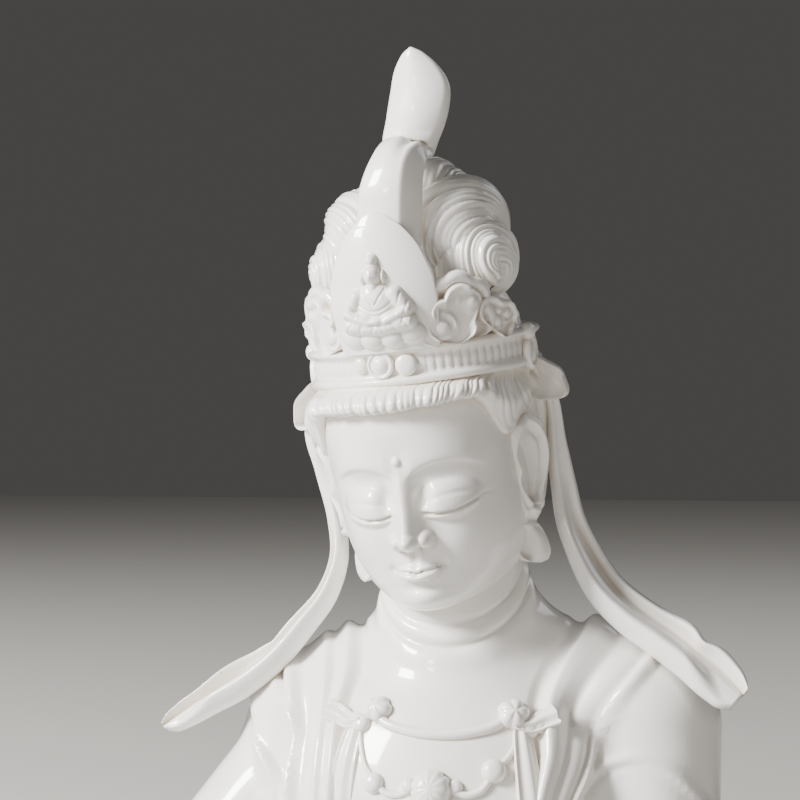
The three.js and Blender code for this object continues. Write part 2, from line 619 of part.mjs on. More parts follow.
function belowCut() {
  const deep = 60;
  const broad = 2 * (leftReach + rightReach);
  return solidOf(new THREE.BoxGeometry(broad, broad, deep).translate(0, 0, -deep / 2));
}
function robe() {
  const folds = [
    ...lapels.map((path, i) => laid(path, (t) => mix(13, 17, t), raised(mirrored(lapelSection, i === 1), lapelHeight), 8)),
    ...rolls.map((path, i) => laid(path, () => 9, raised(mirrored(rollSection, i === 1), rollHeight), 7)),
    laid(sleeveEdge, () => 4, raised(rollSection, lapelHeight * 0.7), 7),
  ];
  return united(folds).subtract(belowCut());
}
function mirrored(section, turned) {
  return turned ? section.map(([w, out]) => [-w, out]).toReversed() : section;
}

// Cords, beads and sashes of the necklace, the same on both sides of a line near the middle.
const cordSection = [[-1, -1.2], [0, 1], [1, -1.2]];
const sashSection = [[-1, -2.5], [-0.8, 0.9], [0, 0.5], [0.8, 1], [1, -2.5]];
function jewels() {
  const middle = 2;
  const onChest = ([x, z]) => onto(point(middle + x, -55, z), bodyField);
  const cord = (places, radius, steps) => laid(places.map(onChest), () => radius, raised(cordSection, 2 * radius), steps);
  const solids = [
    cord([[-31, 63], [-20, 53], [0, 48.5], [20, 53], [31, 63]], necklaceRadius, 8),
    cord([[-27, 34], [-16, 28], [0, 30], [16, 28], [27, 34]], necklaceRadius * 0.8, 6),
    bead(onChest([0, 31]), rosetteRadius * 0.95),
  ];
  for (const side of BOTH_SIDES) {
    solids.push(cord([[side * 33, 60], [side * 31, 48], [side * 27, 34]], necklaceRadius * 0.7, 4));
    solids.push(laid([[34, 58], [36, 30], [37, -6]].map(([x, z]) => onChest([side * x, z])),
      (t) => mix(3.5, 7, t), raised(sashSection, 3.4), 7));
    for (const [x, z, size] of [[27, 63.5, 1.35], [35, 57.5, 1.1], [27, 33, 1]])
      solids.push(bead(onChest([side * x, z]), beadRadius * size));
  }
  return united(solids).subtract(belowCut());
}

function meshOf(solid, name, material) {
  const { vertProperties, triVerts } = solid.getMesh();
  const geometry = new THREE.BufferGeometry();
  geometry.setAttribute("position", new THREE.BufferAttribute(new Float32Array(vertProperties), 3));
  geometry.setIndex(new THREE.BufferAttribute(new Uint32Array(triVerts), 1));
  geometry.computeVertexNormals();
  const mesh = new THREE.Mesh(geometry, material);
  mesh.name = name;
  return mesh;
}

const porcelain = new THREE.MeshStandardMaterial({ color: 0xf1efec, roughness: 0.22, metalness: 0 });
const everything = [body(), head(), hairCap(), hairUnderBun(), bun(), mane(), crown(), ribbons(), bows(), ears(), robe(), jewels()];
const figure = new THREE.Group();
figure.add(meshOf(withoutPockets(united(everything)), "guanyin_bust", porcelain));
export default figure;
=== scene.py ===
from math import pi, radians

import bmesh
import bpy
import numpy as np
from mathutils import Matrix, Vector


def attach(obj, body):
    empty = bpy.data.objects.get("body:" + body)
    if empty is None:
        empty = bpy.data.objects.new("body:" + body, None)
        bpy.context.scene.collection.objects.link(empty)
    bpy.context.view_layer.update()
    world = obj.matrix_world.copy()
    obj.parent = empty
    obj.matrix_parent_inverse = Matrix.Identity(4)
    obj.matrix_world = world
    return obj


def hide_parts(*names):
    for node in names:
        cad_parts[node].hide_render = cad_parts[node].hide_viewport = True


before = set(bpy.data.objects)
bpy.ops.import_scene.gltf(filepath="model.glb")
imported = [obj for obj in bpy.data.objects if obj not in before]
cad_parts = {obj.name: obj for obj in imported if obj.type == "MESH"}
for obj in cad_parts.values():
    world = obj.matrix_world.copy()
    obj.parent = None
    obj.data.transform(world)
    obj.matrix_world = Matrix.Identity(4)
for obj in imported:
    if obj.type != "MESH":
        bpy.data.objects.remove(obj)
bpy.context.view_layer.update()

# The body
# Neck, open chest, robe, shoulders and upper arms of a hollow porcelain bust, slip-cast in a
# plaster mould. The robe and its folds are one skin with the chest, and the glaze softens them.
# All sizes are millimetres. X is to the figure's left, Y to its back, Z up from the flat cut.
MM = 0.001
LEFT, RIGHT = 1, -1
neck_radius = 28
neck_foot, neck_head, nape = (3, 3, 74), (-0.5, -10.7, 131), (0, 8, 84)
neck_creases = (121.5, 113.5)
left_shoulder, right_shoulder = (72, 6, 60), (-62, 6, 50)
left_elbow, right_elbow = (80, -2, -30), (-108, -12, -24)
shoulder_radius = 25
arm_radius = 25.5
chest_half_width, chest_depth = 72, 50
cloth_height = 5


def length(v):
    return np.linalg.norm(v, axis=-1)


def unit(v):
    return v / length(v)[..., None]


def mix(a, b, share):
    return a + (b - a) * share


def clamp(x):
    return np.clip(x, 0, 1)


def step(x, low, high):
    t = clamp((x - low) / (high - low))
    return t * t * (3 - 2 * t)


def hill(x, middle, reach):
    return np.exp(-(((x - middle) / reach) ** 2))


def curve(pairs, where):
    """A smooth line through a few [place, value] pairs, level beyond its ends."""
    x, y = np.array(pairs, float).T
    slope = np.gradient(y, x)
    where = np.clip(where, x[0], x[-1])
    k = np.clip(np.searchsorted(x, where, side="right") - 1, 0, len(x) - 2)
    wide = x[k + 1] - x[k]
    t = (where - x[k]) / wide
    start = (1 + 2 * t) * (1 - t) ** 2 * y[k] + t * (1 - t) ** 2 * wide * slope[k]
    return start + t * t * (3 - 2 * t) * y[k + 1] - t * t * (1 - t) * wide * slope[k + 1]


class Way:
    """A smooth path through a few places, measured by shares of its length."""

    def __init__(self, places):
        self.places = np.array(places, float)
        self.stops = np.concatenate([[0], np.cumsum(length(np.diff(self.places, axis=0)))])
        self.long = self.stops[-1]

    def at(self, share):
        along = np.asarray(share, float) * self.long
        axes = [curve(np.column_stack([self.stops, axis]), along) for axis in self.places.T]
        return np.stack(axes, axis=-1)

    def heading(self, share):
        share = np.clip(share, 0.002, 0.998)
        return unit(self.at(share + 0.002) - self.at(share - 0.002))


def cone(p, start, end, radius_start, radius_end):
    along = np.subtract(end, start)
    share = clamp((p - start) @ along / (along @ along))
    return length(p - start - share[:, None] * along) - mix(radius_start, radius_end, share)


def egg(p, middle, radii):
    return (length((p - middle) / radii) - 1) * min(radii)


def melt(a, b, reach):
    near = np.maximum(reach - np.abs(a - b), 0) / reach
    return np.minimum(a, b) - near * near * reach / 4


def body_form(p):
    """Millimetres outside the bare body, below nought inside it."""
    chest = egg(p, (0, -4, 6), (chest_half_width, chest_depth, 80))
    back = egg(p, (0, 12, 18), (chest_half_width + 2, chest_depth - 6, 78))
    yoke = [cone(p, nape, shoulder, shoulder_radius - 6, shoulder_radius)
            for shoulder in (left_shoulder, right_shoulder)]
    left_top, right_top = np.add(left_shoulder, (6, 0, -8)), np.add(right_shoulder, (0, 0, -10))
    left_arm = cone(p, left_top, left_elbow, arm_radius + 2, arm_radius)
    right_arm = cone(p, right_top, right_elbow, arm_radius - 1, arm_radius)
    neck = cone(p, neck_foot, neck_head, neck_radius + 2, neck_radius)
    trunk = melt(melt(chest, back, 14), melt(*yoke, 10), 12)
    return melt(melt(melt(trunk, left_arm, 9), right_arm, 9), neck, 16)


def outwards(p, form=body_form):
    return unit(np.stack([form(p + side) - form(p - side) for side in 0.5 * np.eye(3)], axis=-1))


def onto(p, form=body_form, rounds=6):
    p = np.array(p, float)
    for _ in range(rounds):
        p = p - outwards(p, form) * form(p)[:, None]
    return p


# Each fold of the robe follows a way on the body. Its section runs out from the figure's middle,
# in half widths of the fold, and its heights are shares of the cloth's height.
folds = [
    {   # the lapel over the left shoulder: a narrow rolled edge, a flat pleat and a broad roll
        "way": [(40, 47, -6), (44, 44, 30), (52, 38, 62), (62, 20, 84), (66, 4, 88), (65, -10, 82),
                (57, -20, 70), (52, -25, 59), (50, -33, 40), (47, -40, 26), (44, -46, -6)],
        "half": [[0, 12], [0.16, 12], [0.41, 15], [0.56, 16], [0.66, 14], [0.73, 12.3], [0.83, 9],
                 [1, 6]],
        "section": [[-1.2, 0], [-1.02, 0.45], [-0.92, 0.55], [-0.8, 0.22], [-0.64, 0.42],
                    [-0.2, 0.5], [0, 0.28], [0.2, 0.5], [0.6, 0.86], [0.84, 0.74], [1, -0.06],
                    [1.12, -0.2], [1.4, 0]],
        "high": 1,
    },
    {   # the lapel over the right shoulder
        "way": [(-40, 47, -6), (-44, 44, 28), (-52, 38, 58), (-58, 20, 80), (-58, 4, 84),
                (-54, -7, 80), (-51, -16, 71), (-50, -24, 61), (-48, -31, 49), (-48, -39, 28),
                (-48, -44, -6)],
        "half": [[0, 12], [0.16, 12], [0.41, 15], [0.58, 16.5], [0.65, 15.5], [0.71, 12.3],
                 [0.83, 11.5], [1, 9]],
        "section": [[-1.25, 0], [-1.08, 0.3], [-0.96, 0.9], [-0.8, 0.98], [-0.56, 0.55],
                    [-0.33, 0.5], [0, 0.66], [0.26, 0.74], [0.38, 0.4], [0.6, 0.52], [0.86, 0.6],
                    [1, 0], [1.1, -0.25], [1.3, 0]],
        "high": 1,
    },
    {   # the outer panel on the right, whose free edge lies on the arm
        "way": [(-60, 40, -6), (-66, 34, 40), (-78, 20, 62), (-79, 0, 67), (-76, -9, 62),
                (-72, -16, 54), (-67, -23, 42), (-64, -29, 28), (-63, -34, -6)],
        "half": [[0, 10], [0.26, 10], [0.52, 9], [0.63, 9], [0.72, 11], [0.81, 9.2], [0.91, 9.6],
                 [1, 10.5]],
        "section": [[-1.1, 0], [-0.92, 0.5], [-0.6, 0.72], [0, 0.6], [0.5, 0.72], [0.82, 0.86],
                    [0.96, 0.6], [1.08, 0]],
        "high": 0.8,
    },
    {   # a smaller fold that tucks under the panel
        "way": [(-78, -20, 44), (-71, -24, 34), (-66, -28, 26), (-66, -31, 12), (-67, -33, -6)],
        "half": [[0, 1.5], [0.4, 4], [1, 6]],
        "section": [[-1.1, 0], [-0.9, 0.5], [-0.2, 0.9], [0.5, 0.6], [0.9, 0.5], [1.1, 0]],
        "high": 0.7,
    },
    {   # the hem of the left sleeve
        "way": [(52, -33, 22), (57, -30, 31), (64, -26, 38), (74, -24, 41), (84, -22, 39),
                (93, -19, 33), (99, -14, 25), (103, -4, 18), (104, 8, 14)],
        "half": [[0, 5], [1, 5]],
        "section": [[-1, 0], [-0.5, 0.35], [-0.1, 1], [0.16, 0.8], [0.5, -0.25], [1, 0]],
        "high": 0.26,
    },
]


def laid(fold):
    """A fold with its way laid on the body: its places, the sides they face and their headings."""
    way = Way(onto(fold["way"]))
    share = np.linspace(0, 1, 120)
    places, heading = onto(way.at(share)), way.heading(share)
    sides = unit(np.cross(heading, outwards(places))) * np.sign(fold["way"][4][0])
    return fold, places, sides, heading, curve(fold["half"], share)


laid_folds = [laid(fold) for fold in folds]


def cloth(p):
    """How far the cloth and the creases of the neck stand out from the bare body at each place."""
    high = np.zeros(len(p))
    for fold, places, sides, heading, half in laid_folds:
        gaps = (p * p).sum(1)[:, None] + (places * places).sum(1) - 2 * p @ places.T
        near = gaps.argmin(1)
        away = p - places[near]
        across = (away * sides[near]).sum(1)
        past = np.abs((away * heading[near]).sum(1))
        beside = (1 - step(past, 1, 7)) * (1 - step(length(away), 24, 32))
        section = curve(fold["section"], across / half[near])
        high += cloth_height * fold["high"] * section * beside
    tilted = p[:, 2] - 0.93 * p[:, 1]
    front = step(-p[:, 1], -6, 8) * step(p[:, 2], 70, 80)
    for crease in neck_creases:
        high += front * (0.9 * hill(tilted, crease - 5, 4) - 1.5 * hill(tilted, crease, 1.5))
    return high


def skin(bm, columns, rows, place):
    """Adds a closed skin to bm: a sheet rolled round and drawn in to a middle point at both ends.
    Place puts each of its points by the turn around and the share up."""
    verts = bmesh.ops.create_grid(bm, x_segments=columns, y_segments=rows, size=1)["verts"]
    at = np.array([vert.co for vert in verts])
    around = pi * at[:, 0]
    row = np.round((at[:, 1] + 1) / 2 * rows)
    places = place(around, clamp((row - 1) / (rows - 2))) * MM
    for end in (0, rows):
        places[row == end] = places[row == end].mean(axis=0)
    for vert, co in zip(verts, places):
        vert.co = co
    bmesh.ops.remove_doubles(bm, verts=verts, dist=1e-6)


def from_front(around, crowding):
    """Turns measured from the front, with the columns crowded there."""
    turned = (around + 1.5 * pi) % (2 * pi) - pi
    return turned * (1 - crowding) + crowding * turned**3 / pi**2


# The skin is found by rays from a middle line: how high each ring of rays starts and its slope.
ray_feet = [[0.05, 0], [0.3, 15], [0.5, 22], [0.68, 66], [0.8, 92], [0.925, 122], [0.95, 138]]
ray_slopes = [[0.05, 0], [0.3, 0.2], [0.5, 0.66], [0.68, 0.42], [0.8, 0.2], [0.925, 0], [0.95, 0]]


def body_place(around, up):
    front = from_front(around, 0.36)
    flat, closed = clamp(up / 0.05), clamp((1 - up) / 0.05)
    foot, slope = curve(ray_feet, up), curve(ray_slopes, up)
    axis = np.stack([0 * up, mix(2, -4, clamp((foot - 60) / 50)), foot], axis=-1)
    away = np.stack([np.sin(front), -np.cos(front), slope], axis=-1)
    near, far = np.zeros(len(up)), np.full(len(up), 190.0)
    for _ in range(22):
        middle = (near + far) / 2
        inside = body_form(axis + away * middle[:, None]) < 0
        near, far = np.where(inside, middle, near), np.where(inside, far, middle)
    bare = axis + away * near[:, None]
    facing = outwards(bare)
    facing[:, 2] *= step(up, 0.05, 0.09)
    dressed = bare + unit(facing) * cloth(bare)[:, None]
    return axis + (dressed - axis) * (flat * closed)[:, None]


def linear(code):
    parts = [int(code[k:k + 2], 16) / 255 for k in (1, 3, 5)]
    return (*[c / 12.92 if c <= 0.04045 else ((c + 0.055) / 1.055) ** 2.4 for c in parts], 1)


def fill(node, inputs):
    """Fills inputs of a node, each with a value or with a link from another node's output."""
    for name, value in inputs.items():
        if isinstance(value, bpy.types.NodeSocket):
            node.id_data.links.new(value, node.inputs[name])
        else:
            node.inputs[name].default_value = value


def add(tree, kind, settings, inputs):
    """Adds a node to the tree, with its settings, and its inputs as values or links."""
    made = tree.nodes.new(kind)
    for name, value in settings.items():
        setattr(made, name, value)
    fill(made, inputs)
    return made


# White porcelain, slip-cast, dipped in clear feldspar glaze and fired at about 1300 degrees. To
# the eye it is a cool milk white with a wet gloss, with a slow ripple in its reflections and, here
# and there, a pinhole or an iron speck. Its colour is painted creamier and darker in the hollows:
# this is painted shade, and it also stands for the glaze lying thicker there.
glaze_white = "#F6F4F1"
painted_shade_colour = "#E9E0D3"
iron_speck = "#5A4B3E"
painted_shade_reach = 5
ripple_length, ripple_depth = 14, 0.4
speck_spacing, speck_radius = 17, 0.32


def glazed_porcelain():
    material = bpy.data.materials.new("glazed_porcelain")
    material.use_nodes = True
    tree = material.node_tree
    place = add(tree, "ShaderNodeTexCoord", {}, {}).outputs["Object"]
    # painted shade: ambient occlusion over a few millimetres mixes the colour towards the darker
    # cream tone in the hollows
    open_sky = add(tree, "ShaderNodeAmbientOcclusion", {"samples": 6}, {
        "Distance": painted_shade_reach * MM})
    painted_shade_share = add(tree, "ShaderNodeMapRange", {}, {
        "Value": open_sky.outputs["AO"], "From Min": 0.35, "From Max": 0.95})
    body_colour = add(tree, "ShaderNodeMix", {"data_type": "RGBA"}, {
        "Factor": painted_shade_share.outputs[0], "A": linear(painted_shade_colour), "B": linear(glaze_white)})
    cells = add(tree, "ShaderNodeTexVoronoi", {}, {
        "Vector": place, "Scale": 1 / (speck_spacing * MM)})
    speck = add(tree, "ShaderNodeMapRange", {}, {
        "Value": cells.outputs["Distance"], "From Min": 0.5 * speck_radius / speck_spacing,
        "From Max": speck_radius / speck_spacing, "To Min": 1, "To Max": 0})
    colour = add(tree, "ShaderNodeMix", {"data_type": "RGBA"}, {
        "Factor": speck.outputs[0], "A": body_colour.outputs["Result"], "B": linear(iron_speck)})
    ripple = add(tree, "ShaderNodeTexNoise", {}, {
        "Vector": place, "Scale": 1 / (ripple_length * MM), "Detail": 1.0})
    waved = add(tree, "ShaderNodeBump", {}, {
        "Height": ripple.outputs[0], "Strength": 0.25, "Distance": ripple_depth * MM})
    fill(tree.nodes["Principled BSDF"], {
        "Base Color": colour.outputs["Result"], "Coat Normal": waved.outputs["Normal"],
        "Roughness": 0.42, "IOR": 1.5, "Coat Weight": 0.85, "Coat Roughness": 0.07,
        "Coat IOR": 1.5, "Subsurface Weight": 0.12, "Subsurface Radius": (1, 0.85, 0.7),
        "Subsurface Scale": 1.5 * MM})
    return material


porcelain = glazed_porcelain()


def fire(name, *skins):
    """Makes closed skins, given as columns, rows and place, one object of the glazed bust."""
    clay = bmesh.new()
    for columns, rows, place in skins:
        skin(clay, columns, rows, place)
    bmesh.ops.recalc_face_normals(clay, faces=clay.faces)
    mesh = bpy.data.meshes.new(name)
    clay.to_mesh(mesh)
    clay.free()
    mesh.shade_smooth()
    mesh.materials.append(porcelain)
    piece = bpy.data.objects.new(name, mesh)
    bpy.context.scene.collection.objects.link(piece)
    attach(piece, "root")
    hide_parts("guanyin_bust")


fire("body_and_robe", (300, 160, body_place))

# The head
# The face and skull, cast in the same mould as the body. The face is a calm one on the sculptor's
# canon: three equal parts from hairline to chin, long arched brows, lowered lids over a narrow
# slit, and a small closed mouth.
head_middle = (-5, -15, 156.5)
head_turn, head_lean, head_bow = -5, -7, 14
face_third = 27
hairline_height = 31
brow_height = hairline_height - face_third
nose_base = brow_height - face_third
chin_height = nose_base - face_third
mouth_height = nose_base - face_third / 3
eye_height = brow_height - face_third * 0.4
head_half_width, face_depth, skull_depth = 39.5, 45.5, 42
eye_out, eye_half_width = 16.5, 10.8
nose_projection = 11
mouth_half_width = 9.2
head_roundness = 0.93
head_widths = [[-1.04, 0.22], [-1.01, 0.4], [-0.94, 0.6], [-0.84, 0.745], [-0.66, 0.875],
               [-0.48, 0.945], [-0.24, 0.985], [0, 1], [0.24, 1.01], [0.5, 0.99], [0.72, 0.95],
               [0.96, 0.84], [1.2, 0.6], [1.32, 0.2]]
head_fronts = [[-1.04, 0.7], [-1.01, 0.84], [-0.94, 0.93], [-0.84, 0.965], [-0.66, 0.985],
               [-0.48, 1], [-0.24, 1], [0, 1], [0.24, 1.02], [0.5, 1.01], [0.72, 0.95],
               [0.96, 0.81], [1.2, 0.55], [1.32, 0.2]]
head_backs = [[-1.04, -0.3], [-0.94, 0.02], [-0.66, 0.4], [-0.24, 0.78], [0.24, 1], [0.72, 0.98],
              [0.96, 0.88], [1.2, 0.6], [1.32, 0.2]]
head_heights = [[0, -52], [0.02, -51.2], [0.1, -46], [0.62, 12], [0.78, 32], [1, 65]]


class Pose:
    """Axes of their own for the head and the crown: turned, leant and bowed about a middle."""

    def __init__(self, turn, lean, bow, middle):
        turned, leant, bowed = (Matrix.Rotation(radians(degrees), 3, axis)
                                for degrees, axis in ((turn, "Z"), (lean, "Y"), (bow, "X")))
        self.axes = np.array(turned @ leant @ bowed)
        self.middle = np.array(middle, float)

    def placed(self, x, y, z):
        return np.stack(np.broadcast_arrays(x, y, z), axis=-1) @ self.axes.T + self.middle

    def ring(self, turned, radius, z):
        """Places round these axes, by their turn from the front."""
        return self.placed(radius * np.sin(turned), -radius * np.cos(turned), z)

    def seen(self, p):
        return (p - self.middle) @ self.axes


head_pose = Pose(head_turn, head_lean, head_bow, head_middle)


def head_oval(turned, z, out):
    """A ring of the head at a height, pushed out by a distance. Turned is from the front."""
    share = z / -chin_height
    s, c = np.sin(turned), np.cos(turned)
    wide = head_half_width * curve(head_widths, share) + out
    front = face_depth * curve(head_fronts, share) + out
    back = skull_depth * curve(head_backs, share) + out
    x = wide * np.sign(s) * np.abs(s) ** head_roundness
    y = np.where(c > 0, -front, back) * np.abs(c) ** head_roundness
    return x, y


def swell(a, b, reach):
    return -melt(-a, -b, reach)


def window(x, low, full, ebb, end):
    return step(x, low, full) * (1 - step(x, ebb, end))


def bump(x, z, middle_x, middle_z, reach_x, reach_z):
    return hill(x, middle_x, reach_x) * hill(z, middle_z, reach_z)


def knob(x, z, middle_x, middle_z, radius_x, radius_z, high, power=0.5):
    inside = 1 - ((x - middle_x) / radius_x) ** 2 - ((z - middle_z) / radius_z) ** 2
    return high * clamp(inside) ** power


def face_relief(x, z):
    """How far the features of the face stand forward of the bare oval."""
    side = np.abs(x)
    across = (side - eye_out) / eye_half_width
    inner = clamp(1 - across**2)

    over_brow = z - brow_height - 5.6 + 5.4 * ((side - 16) / 14) ** 2
    brow = 1.15 * step(over_brow, -1.7, 0.7) * hill(np.maximum(over_brow, 0), 0, 8)
    brow = brow * window(side, 1, 6, 24, 33)
    socket = -1.5 * bump(side, z, eye_out - 1, brow_height + 0.5, 10, 3.6)
    inner_corner = -3 * bump(side, z, 7.6, eye_height + 3.2, 3.2, 5.2)

    over_lash = z - eye_height + 1.4 + 1.9 * inner - 0.7 * across
    ball = knob(side, z, eye_out, eye_height + 0.6, 12.2, 8.4, 3.1, 0.9)
    wide = step(inner, 0, 0.3)
    lid = 0.75 * wide * step(over_lash, -0.25, 0.25) * hill(np.maximum(over_lash, 0), 0, 5)
    slit = -1.5 * wide * hill(over_lash, -0.6, 0.5)
    lower_lid = 0.65 * wide * hill(over_lash, -1.9, 0.8)
    crease = -0.4 * hill(over_lash, 0.7 + 5.6 * inner**0.7, 0.9) * step(inner, 0.02, 0.4)
    tail = -0.5 * bump(side, z, eye_out + eye_half_width + 0.6, eye_height - 0.6, 2.6, 0.7)
    eyes = ball + lid + slit + lower_lid + crease + tail + socket + inner_corner

    nose_tip = nose_base + 4.4
    bridge_top = brow_height + 4
    fall = clamp((bridge_top - z) / (bridge_top - nose_tip))
    ridge = nose_projection * (0.24 + 0.76 * fall**1.2) * hill(side, 0, mix(4.4, 5.6, fall**1.4))
    ridge = ridge * step(z, bridge_top + 7, bridge_top - 6)
    ridge = ridge * step(z, nose_base - 0.6, nose_tip)
    tip = knob(side, z, 0, nose_tip - 0.6, 5.4, 4.9, 1.07 * nose_projection, 0.6)
    wing = knob(side, z, 5.5, nose_base + 3.4, 3.8, 4.2, 7.4, 0.55)
    nose = swell(swell(ridge, tip, 2.6), wing, 1.2)
    nostril = -1.6 * bump(side, z, 3.3, nose_base + 0.6, 1.5, 0.9)
    philtrum = 0.3 * hill(side, 2.4, 0.9) - 0.7 * hill(side, 0, 1.3)
    philtrum *= window(z, mouth_height + 3.2, mouth_height + 4.6,
                       nose_base - 2, nose_base)

    lip_share = clamp(side / mouth_half_width)
    lip_line = 0.25 * hill(side, 4, 2.2) - 0.55 * hill(side, 0, 1.9) + 0.75 * lip_share**4
    lip_line = lip_line + mouth_height
    upper_edge = mouth_height + 3.3 - 0.75 * hill(side, 0, 1.5) - 2.3 * lip_share**1.8
    belly = 4.3 * np.sqrt(clamp(1 - lip_share**2.4))
    lower_edge = mouth_height - belly + 0.7 * lip_share**3
    fullness = clamp(1 - lip_share**2.8) ** 0.6
    upper = clamp((upper_edge - z) / np.maximum(upper_edge - lip_line, 0.3))
    lower = clamp((z - lower_edge) / np.maximum(lip_line - lower_edge, 0.3))
    upper_lip = 2.3 * (1.25 * upper - 0.25 * upper**4) ** 0.8 * (z < upper_edge)
    lower_lip = 2.9 * np.sin(pi * lower**0.85) ** 0.6 + 1.5 * lower * (1 - lower)
    lips = np.where(z > lip_line, upper_lip, lower_lip * (z > lower_edge)) * fullness
    mouth = -1.2 * hill(z - lip_line, 0, 0.42)
    mouth *= 1 - step(side, mouth_half_width - 0.8, mouth_half_width + 1)
    mouth_swell = 1.9 * bump(side, z, 0, mouth_height + 0.5, 10, 6.5)
    corner = -1.1 * bump(side, z, mouth_half_width + 1.1, mouth_height + 0.9, 1.6, 1.7)
    lower_face = lips + mouth + mouth_swell + corner

    chin = 3 * bump(side, z, 0, chin_height + 6.5, 9.5, 5.5)
    under_lip = -1.3 * bump(side, z, 0, mouth_height - 7.2, 7.5, 2)
    cheek = 1.6 * bump(side, z, 22, nose_base + 2, 10, 12)
    urna = knob(x, z, 0, brow_height + 7.5, 1.8, 1.8, 1.3)
    return brow + eyes + nose + nostril + philtrum + lower_face + chin + under_lip + cheek + urna


def head_place(around, up):
    turned = from_front(around, 0.62)
    z = np.interp(up, *np.array(head_heights).T)
    x, y = head_oval(turned, z, 0)
    y = y - step(np.cos(turned), 0.15, 0.5) * face_relief(x, z)
    closed = window(up, -0.004, 0.02, 0.98, 1.002)
    return head_pose.placed(x * closed, mix(-18, y, closed), z)


fire("head", (270, 190, head_place))

# The hair
# Clay hair, combed with a toothed tool before firing: a roll of upright strands over the brow that
# swags back over the ears, a great roll of three stepped lobes a side on the crown of the head,
# and locks down the nape.
hair_thickness = 4
strand_width = 2.7
crown_turn, crown_lean, crown_bow = -7, -5, 7
crown_middle = (-7.8, -22.4, 200.2)
crown_pose = Pose(crown_turn, crown_lean, crown_bow, crown_middle)
brow_seed = 1.3
# The hairline's height by degrees from the front, and the roll's swelling by its share up.
hairlines = [[0, 1], [25, 1], [42, 0.98], [50, 0.92], [55, 0.78], [59, 0.56], [64, 0.38],
             [70, 0.36], [80, 0.44], [90, 0.36], [97, 0.1], [103, -0.6], [125, -0.95], [180, -1.15]]
brow_roll = [[0, -1.4], [0.06, 0.3], [0.13, 1.05], [0.25, 1.6], [0.42, 1.85], [0.65, 1.75],
             [0.85, 1.3], [1, 0.8]]


def scallop(count, power):
    """Rounded waves with sharp valleys, from 0 to 1, one for each whole count."""
    return np.abs(np.cos(pi * (count % 1 - 0.5))) ** power


def strands(count, seed=0):
    """Combed clay, from 0 to 1: rounded strands in locks, some deep and some hardly cut."""
    ridge = scallop(count + 0.25 * np.sin(1.3 * count + seed), 0.7)
    bold = 0.6 + 0.3 * np.sin(0.83 * count + seed) + 0.2 * np.sin(2.31 * count + 2 * seed)
    lock = scallop((count + 1.1 * np.sin(0.41 * count + seed)) / 4.6, 0.45)
    return mix(1, ridge, np.clip(bold, 0.2, 1)) * 0.5 + 0.5 * lock


# The roll of hair over the brow springs from the hairline and tucks in under the band.
def cap_place(around, up):
    turned = from_front(around, 0.25)
    side = np.abs(turned)
    per_turn = (head_half_width + hair_thickness) / strand_width
    swag = 0.6 * step(side, 0.75, 1.7)
    foot = strands((side + 0.03 - swag) * per_turn, brow_seed)
    low = hairline_height * curve(hairlines, np.degrees(side)) + 0.8 * (0.6 - foot)
    rise = np.interp(up, [0, 0.06, 0.14, 1], [0, 0.004, 0.04, 1])
    lean = mix(0.03, 0.16, step(side, 0.1, 0.9)) * (1 - rise)
    swept = side + lean - swag * (1 - rise) ** 2.2 + 0.014 * np.sin(9 * side) * rise
    comb = strands(swept * per_turn, brow_seed) * step(up, 0.04, 0.14)
    tuck = head_pose.seen(crown_pose.ring(turned, 41 + 2 * comb, -9))
    z = mix(low, tuck[:, 2], rise)
    thin = 1 - 0.55 * step(side, 0.8, 1.1) * step(rise, 0.6, 0.1)
    proud = hair_thickness * curve(brow_roll, up) - 2.6 + 3.2 * comb
    x, y = head_oval(turned, z, thin * proud)
    tucked = step(rise, 0.75, 1)
    return head_pose.placed(mix(x, tuck[:, 0], tucked), mix(y, tuck[:, 1], tucked), z)


fire("hair_over_brow", (640, 56, cap_place))

# The bun is a great roll that steps down in lobes: each is a swelling with its strands combed
# round its own pole. A lobe gives its middle, its three radii, the way its pole points, how far
# its strands coil, and its seed.
bun_middle = 3.8
bun_strand = 2.6
bun_squareness = 2.3
bun_lobes = [
    ((0, 2, 44), (25, 27, 31), (1, 0, 0.1), 0, 0.4),
    ((16.5, -3, 46.5), (19, 27, 19.5), (0.72, -0.6, -0.36), 0, 1.7),
    ((26, -11, 33.5), (15.5, 17.5, 15.5), (0.8, -0.55, -0.24), 2, 2.9),
]


def lobe_place(side, middle, radii, pole, coil, seed):
    ahead = unit(np.array(pole, float))
    upward = unit(np.cross(np.cross(ahead, (0, 0.5, 1)), ahead))
    across = np.cross(ahead, upward)
    size = float(np.mean(radii))

    def place(around, up):
        tilt = pi * (up - 0.5)
        aside, over = np.cos(tilt) * np.sin(around), np.cos(tilt) * np.cos(around)
        away = across * aside[:, None] + upward * over[:, None] + ahead * np.sin(tilt)[:, None]
        from_pole = (pi / 2 - np.abs(tilt)) * size
        wander = 0.5 * np.sin(3 * around + 2.3 * seed + from_pole / 9)
        wander = wander + 1.1 * np.sin(2 * around + seed)
        count = (from_pole + wander) / bun_strand + coil * around / pi
        comb = (3.1 * strands(count, seed) - 2.3) * step(from_pole, 0.5, 3)
        shares = ((np.abs(away) / radii) ** bun_squareness).sum(1)
        x, y, z = (middle + away * (shares ** (-1 / bun_squareness) + comb)[:, None]).T
        return crown_pose.placed(side * x + bun_middle, y, z)

    return place


side_lobes = [(90, 140, lobe_place(side, *lobe))
              for side in (LEFT, RIGHT) for lobe in bun_lobes[1:]]
fire("hair_bun", (100, 220, lobe_place(LEFT, *bun_lobes[0])), *side_lobes)

# A low mound of combed hair under the bun closes the top of the head inside the crown's band.
under_bun_radius, under_bun_height = 37, 24


